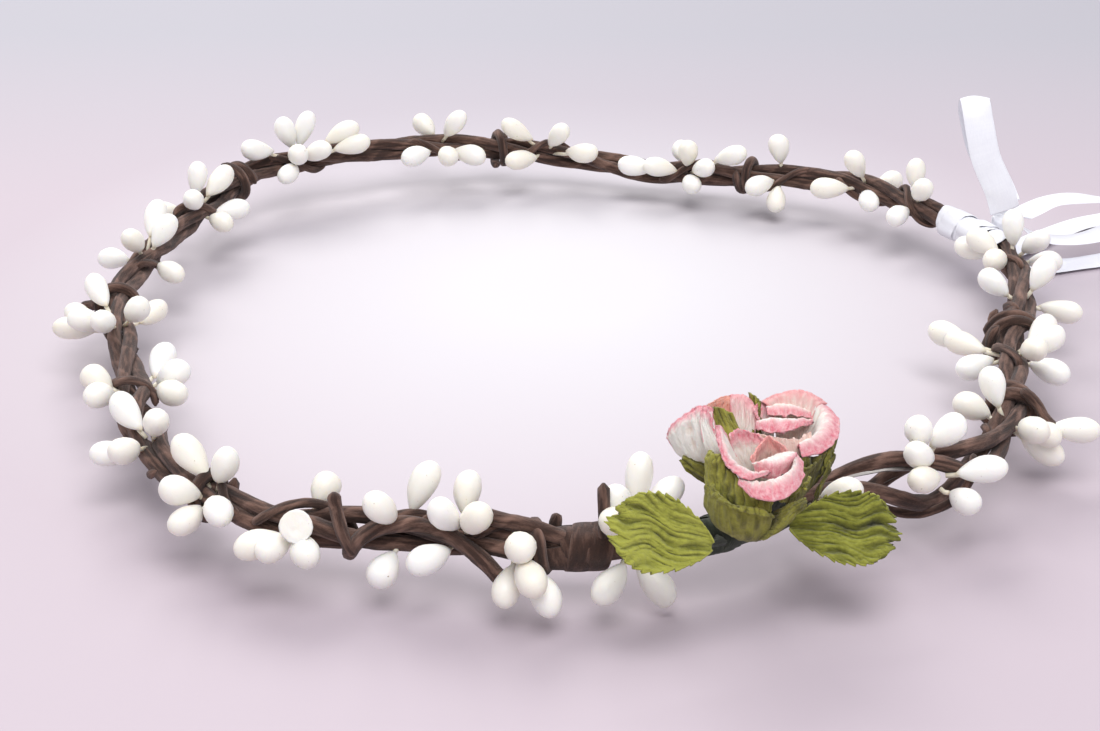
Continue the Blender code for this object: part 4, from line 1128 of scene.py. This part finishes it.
# ---- ribbon ----
# A narrow white satin ribbon binds the vine's two ends. It is tied in a bow whose loops and tails stand free.

RIBBON_WIDTH = 6.5 * MM
RIBBON_THICK = 0.3 * MM
RIBBON_SIDES = 28
LOOP_UP = (
    (95.6, 35.4, 5.4), (94.0, 35.6, 10), (90.6, 37.0, 17), (88.9, 39.4, 24), (88.2, 43.0, 28.5),
    (88.9, 46.8, 24.5), (91.2, 46.0, 16.5), (95.0, 41.6, 9), (96.6, 39.2, 5.4),
)
LOOP_SIDE = (
    (99.9, 38.2, 3.2), (108, 43, 4.6), (119, 48, 3.0), (128.5, 51.5, -1.5),
    (119.5, 49, -5.8), (108.5, 44, -4.6), (100.0, 39.0, 0.2),
)
TAIL_FRONT = (
    (97.0, 35.6, -1.9), (99.4, 36, -6.2), (104, 37.5, -9.2), (113, 41, -9.8),
    (126, 45, -9.8), (140, 47, -9.8), (152, 46, -9.8),
)
TAIL_BACK = (
    (97.4, 40.2, -1.6), (98.6, 43.5, -6.6), (102, 48, -9.4), (111, 57, -9.8),
    (123, 66, -9.8), (136, 71, -9.8), (147, 72, -9.8),
)

SATIN, satin_shader = shader_of("satin_ribbon", (0.86, 0.87, 0.91), 0.32)
satin_place = node(SATIN, "Attribute", attribute_name="grain").outputs["Vector"]
threads = stretched_noise(SATIN, satin_place, (9000, 400, 700), 2)
slubs = stretched_noise(SATIN, satin_place, (500, 300, 2600), 2)
link(SATIN, mixed(SATIN, summed(SATIN, (threads, 0.6), (slubs, 0.4)), (0.80, 0.81, 0.87), (0.93, 0.94, 0.97)),
     satin_shader.inputs["Base Color"])
satin_shader.inputs["Sheen Weight"].default_value = 0.5
satin_shader.inputs["Sheen Roughness"].default_value = 0.3
satin_shader.inputs["Coat Weight"].default_value = 0.15
satin_shader.inputs["Coat Roughness"].default_value = 0.3
bumped(SATIN, satin_shader, summed(SATIN, (threads, 0.5), (slubs, 0.5)), 0.05 * MM, 0.6)


def ribbon(name, node_name, points, side, seed):
    points = [Vector(point) * MM for point in points]
    path = [*smooth_line(points, 12), points[-1]]
    bm = bmesh.new()
    flat = RIBBON_THICK / 2 / STRAND_RADIUS
    places = [place @ Matrix.Diagonal((RIBBON_WIDTH / 2 / STRAND_RADIUS, flat, 1, 1))
              for place in frames(path, [Vector(side)] * len(path))]
    shaped = tube(bm, places, lambda turn, length: (STRAND_RADIUS, 0.5), RIBBON_SIDES)
    for i, (vert, spot) in enumerate(shaped):
        ring = i // RIBBON_SIDES
        place = places[ring]
        across = (place.inverted() @ spot).x / STRAND_RADIUS
        up = Vector((place[0][1], place[1][1], place[2][1])).normalized()
        ripple = noise.noise(Vector((across * 0.8, ring / 7, seed)))
        vert.co = spot + up * MM * (0.5 * across * across - 0.2 + 0.25 * ripple)
    made = piece(name, bm, SATIN)
    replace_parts(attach(made, "vine"), node_name)


# The satin is wound over the long run's end and the gap, and the short run's end has a turn of its own.
satin_ends = bmesh.new()
wound_strip(satin_ends, 18.4, 26.8, (2, 62), 3.4 * MM, 0.35 * MM, 0.1, 7)
wound_strip(satin_ends, 26.4, 19.2, (4, 30), 4.6 * MM, 0.35 * MM, 0.4, 8)
satin_wrap = piece("satin_wrap", satin_ends, SATIN)
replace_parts(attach(satin_wrap, "vine"), "ribbon_band_left")
satin_end = bmesh.new()
wound_strip(satin_end, 15.2, 18.3, (5, 31), 3.0 * MM, 0.35 * MM, 0.1, 9)
satin_turn = piece("satin_turn", satin_end, SATIN)
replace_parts(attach(satin_turn, "right_run"), "ribbon_band_right")

# The knot is the ribbon pulled tight: a pleated lump with one flat turn over its middle.
KNOT_ANGLE, KNOT_HOUR = 21.0, 2.5
knot_out = clock(KNOT_ANGLE, KNOT_HOUR)
knot_along = along(KNOT_ANGLE)
knot_middle = near_vine(KNOT_ANGLE, KNOT_HOUR, 6.75)
knot_axes = Matrix((knot_out, knot_along.cross(knot_out), knot_along)).transposed().to_4x4()
knot = bmesh.new()
knot_grain = knot.verts.layers.float_vector.new("grain")
for vert in bmesh.ops.create_uvsphere(knot, u_segments=72, v_segments=48, radius=1)["verts"]:
    turn, high = math.atan2(vert.co.y, vert.co.x), vert.co.z
    pleat = 1 - 2 * abs(noise.noise(Vector((2.6 * math.cos(turn), 2.6 * math.sin(turn), high * 0.5 + 4))))
    belt = 0.14 / (1 + math.exp((abs(high) - 0.34) / 0.03))
    pinch = 0.10 * math.exp(-((abs(high) - 0.42) / 0.10) ** 2)
    scale = 0.88 + belt - pinch + 0.13 * pleat * (0.4 if abs(high) < 0.34 else 1.0)
    vert[knot_grain] = (turn * 3 * MM, 0, high * 4 * MM)
    vert.co = Vector((2.3 * vert.co.x * scale, 3.0 * vert.co.y * scale, 3.8 * high)) * MM
bmesh.ops.transform(knot, matrix=Matrix.Translation(knot_middle) @ knot_axes, verts=knot.verts)
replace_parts(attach(piece("bow_knot", knot, SATIN), "vine"), "ribbon_knot")

ribbon("bow_loop_up", "ribbon_loop_up", LOOP_UP, (1, 0.1, 0), 1)
ribbon("bow_loop_side", "ribbon_loop_side", LOOP_SIDE, (-0.4, 1, 0), 2)
ribbon("bow_tail_front", "ribbon_tail_front", TAIL_FRONT, (-0.1, 1, 0), 3)
ribbon("bow_tail_back", "ribbon_tail_back", TAIL_BACK, (-0.6, 1, 0), 4)

# ---- the bounds of the imported model and of the finished looks ----

visual_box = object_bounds()
boxes = {"cad": cad_box, "visual": visual_box}
boxes = {name: [list(corner) for corner in box] for name, box in boxes.items()}
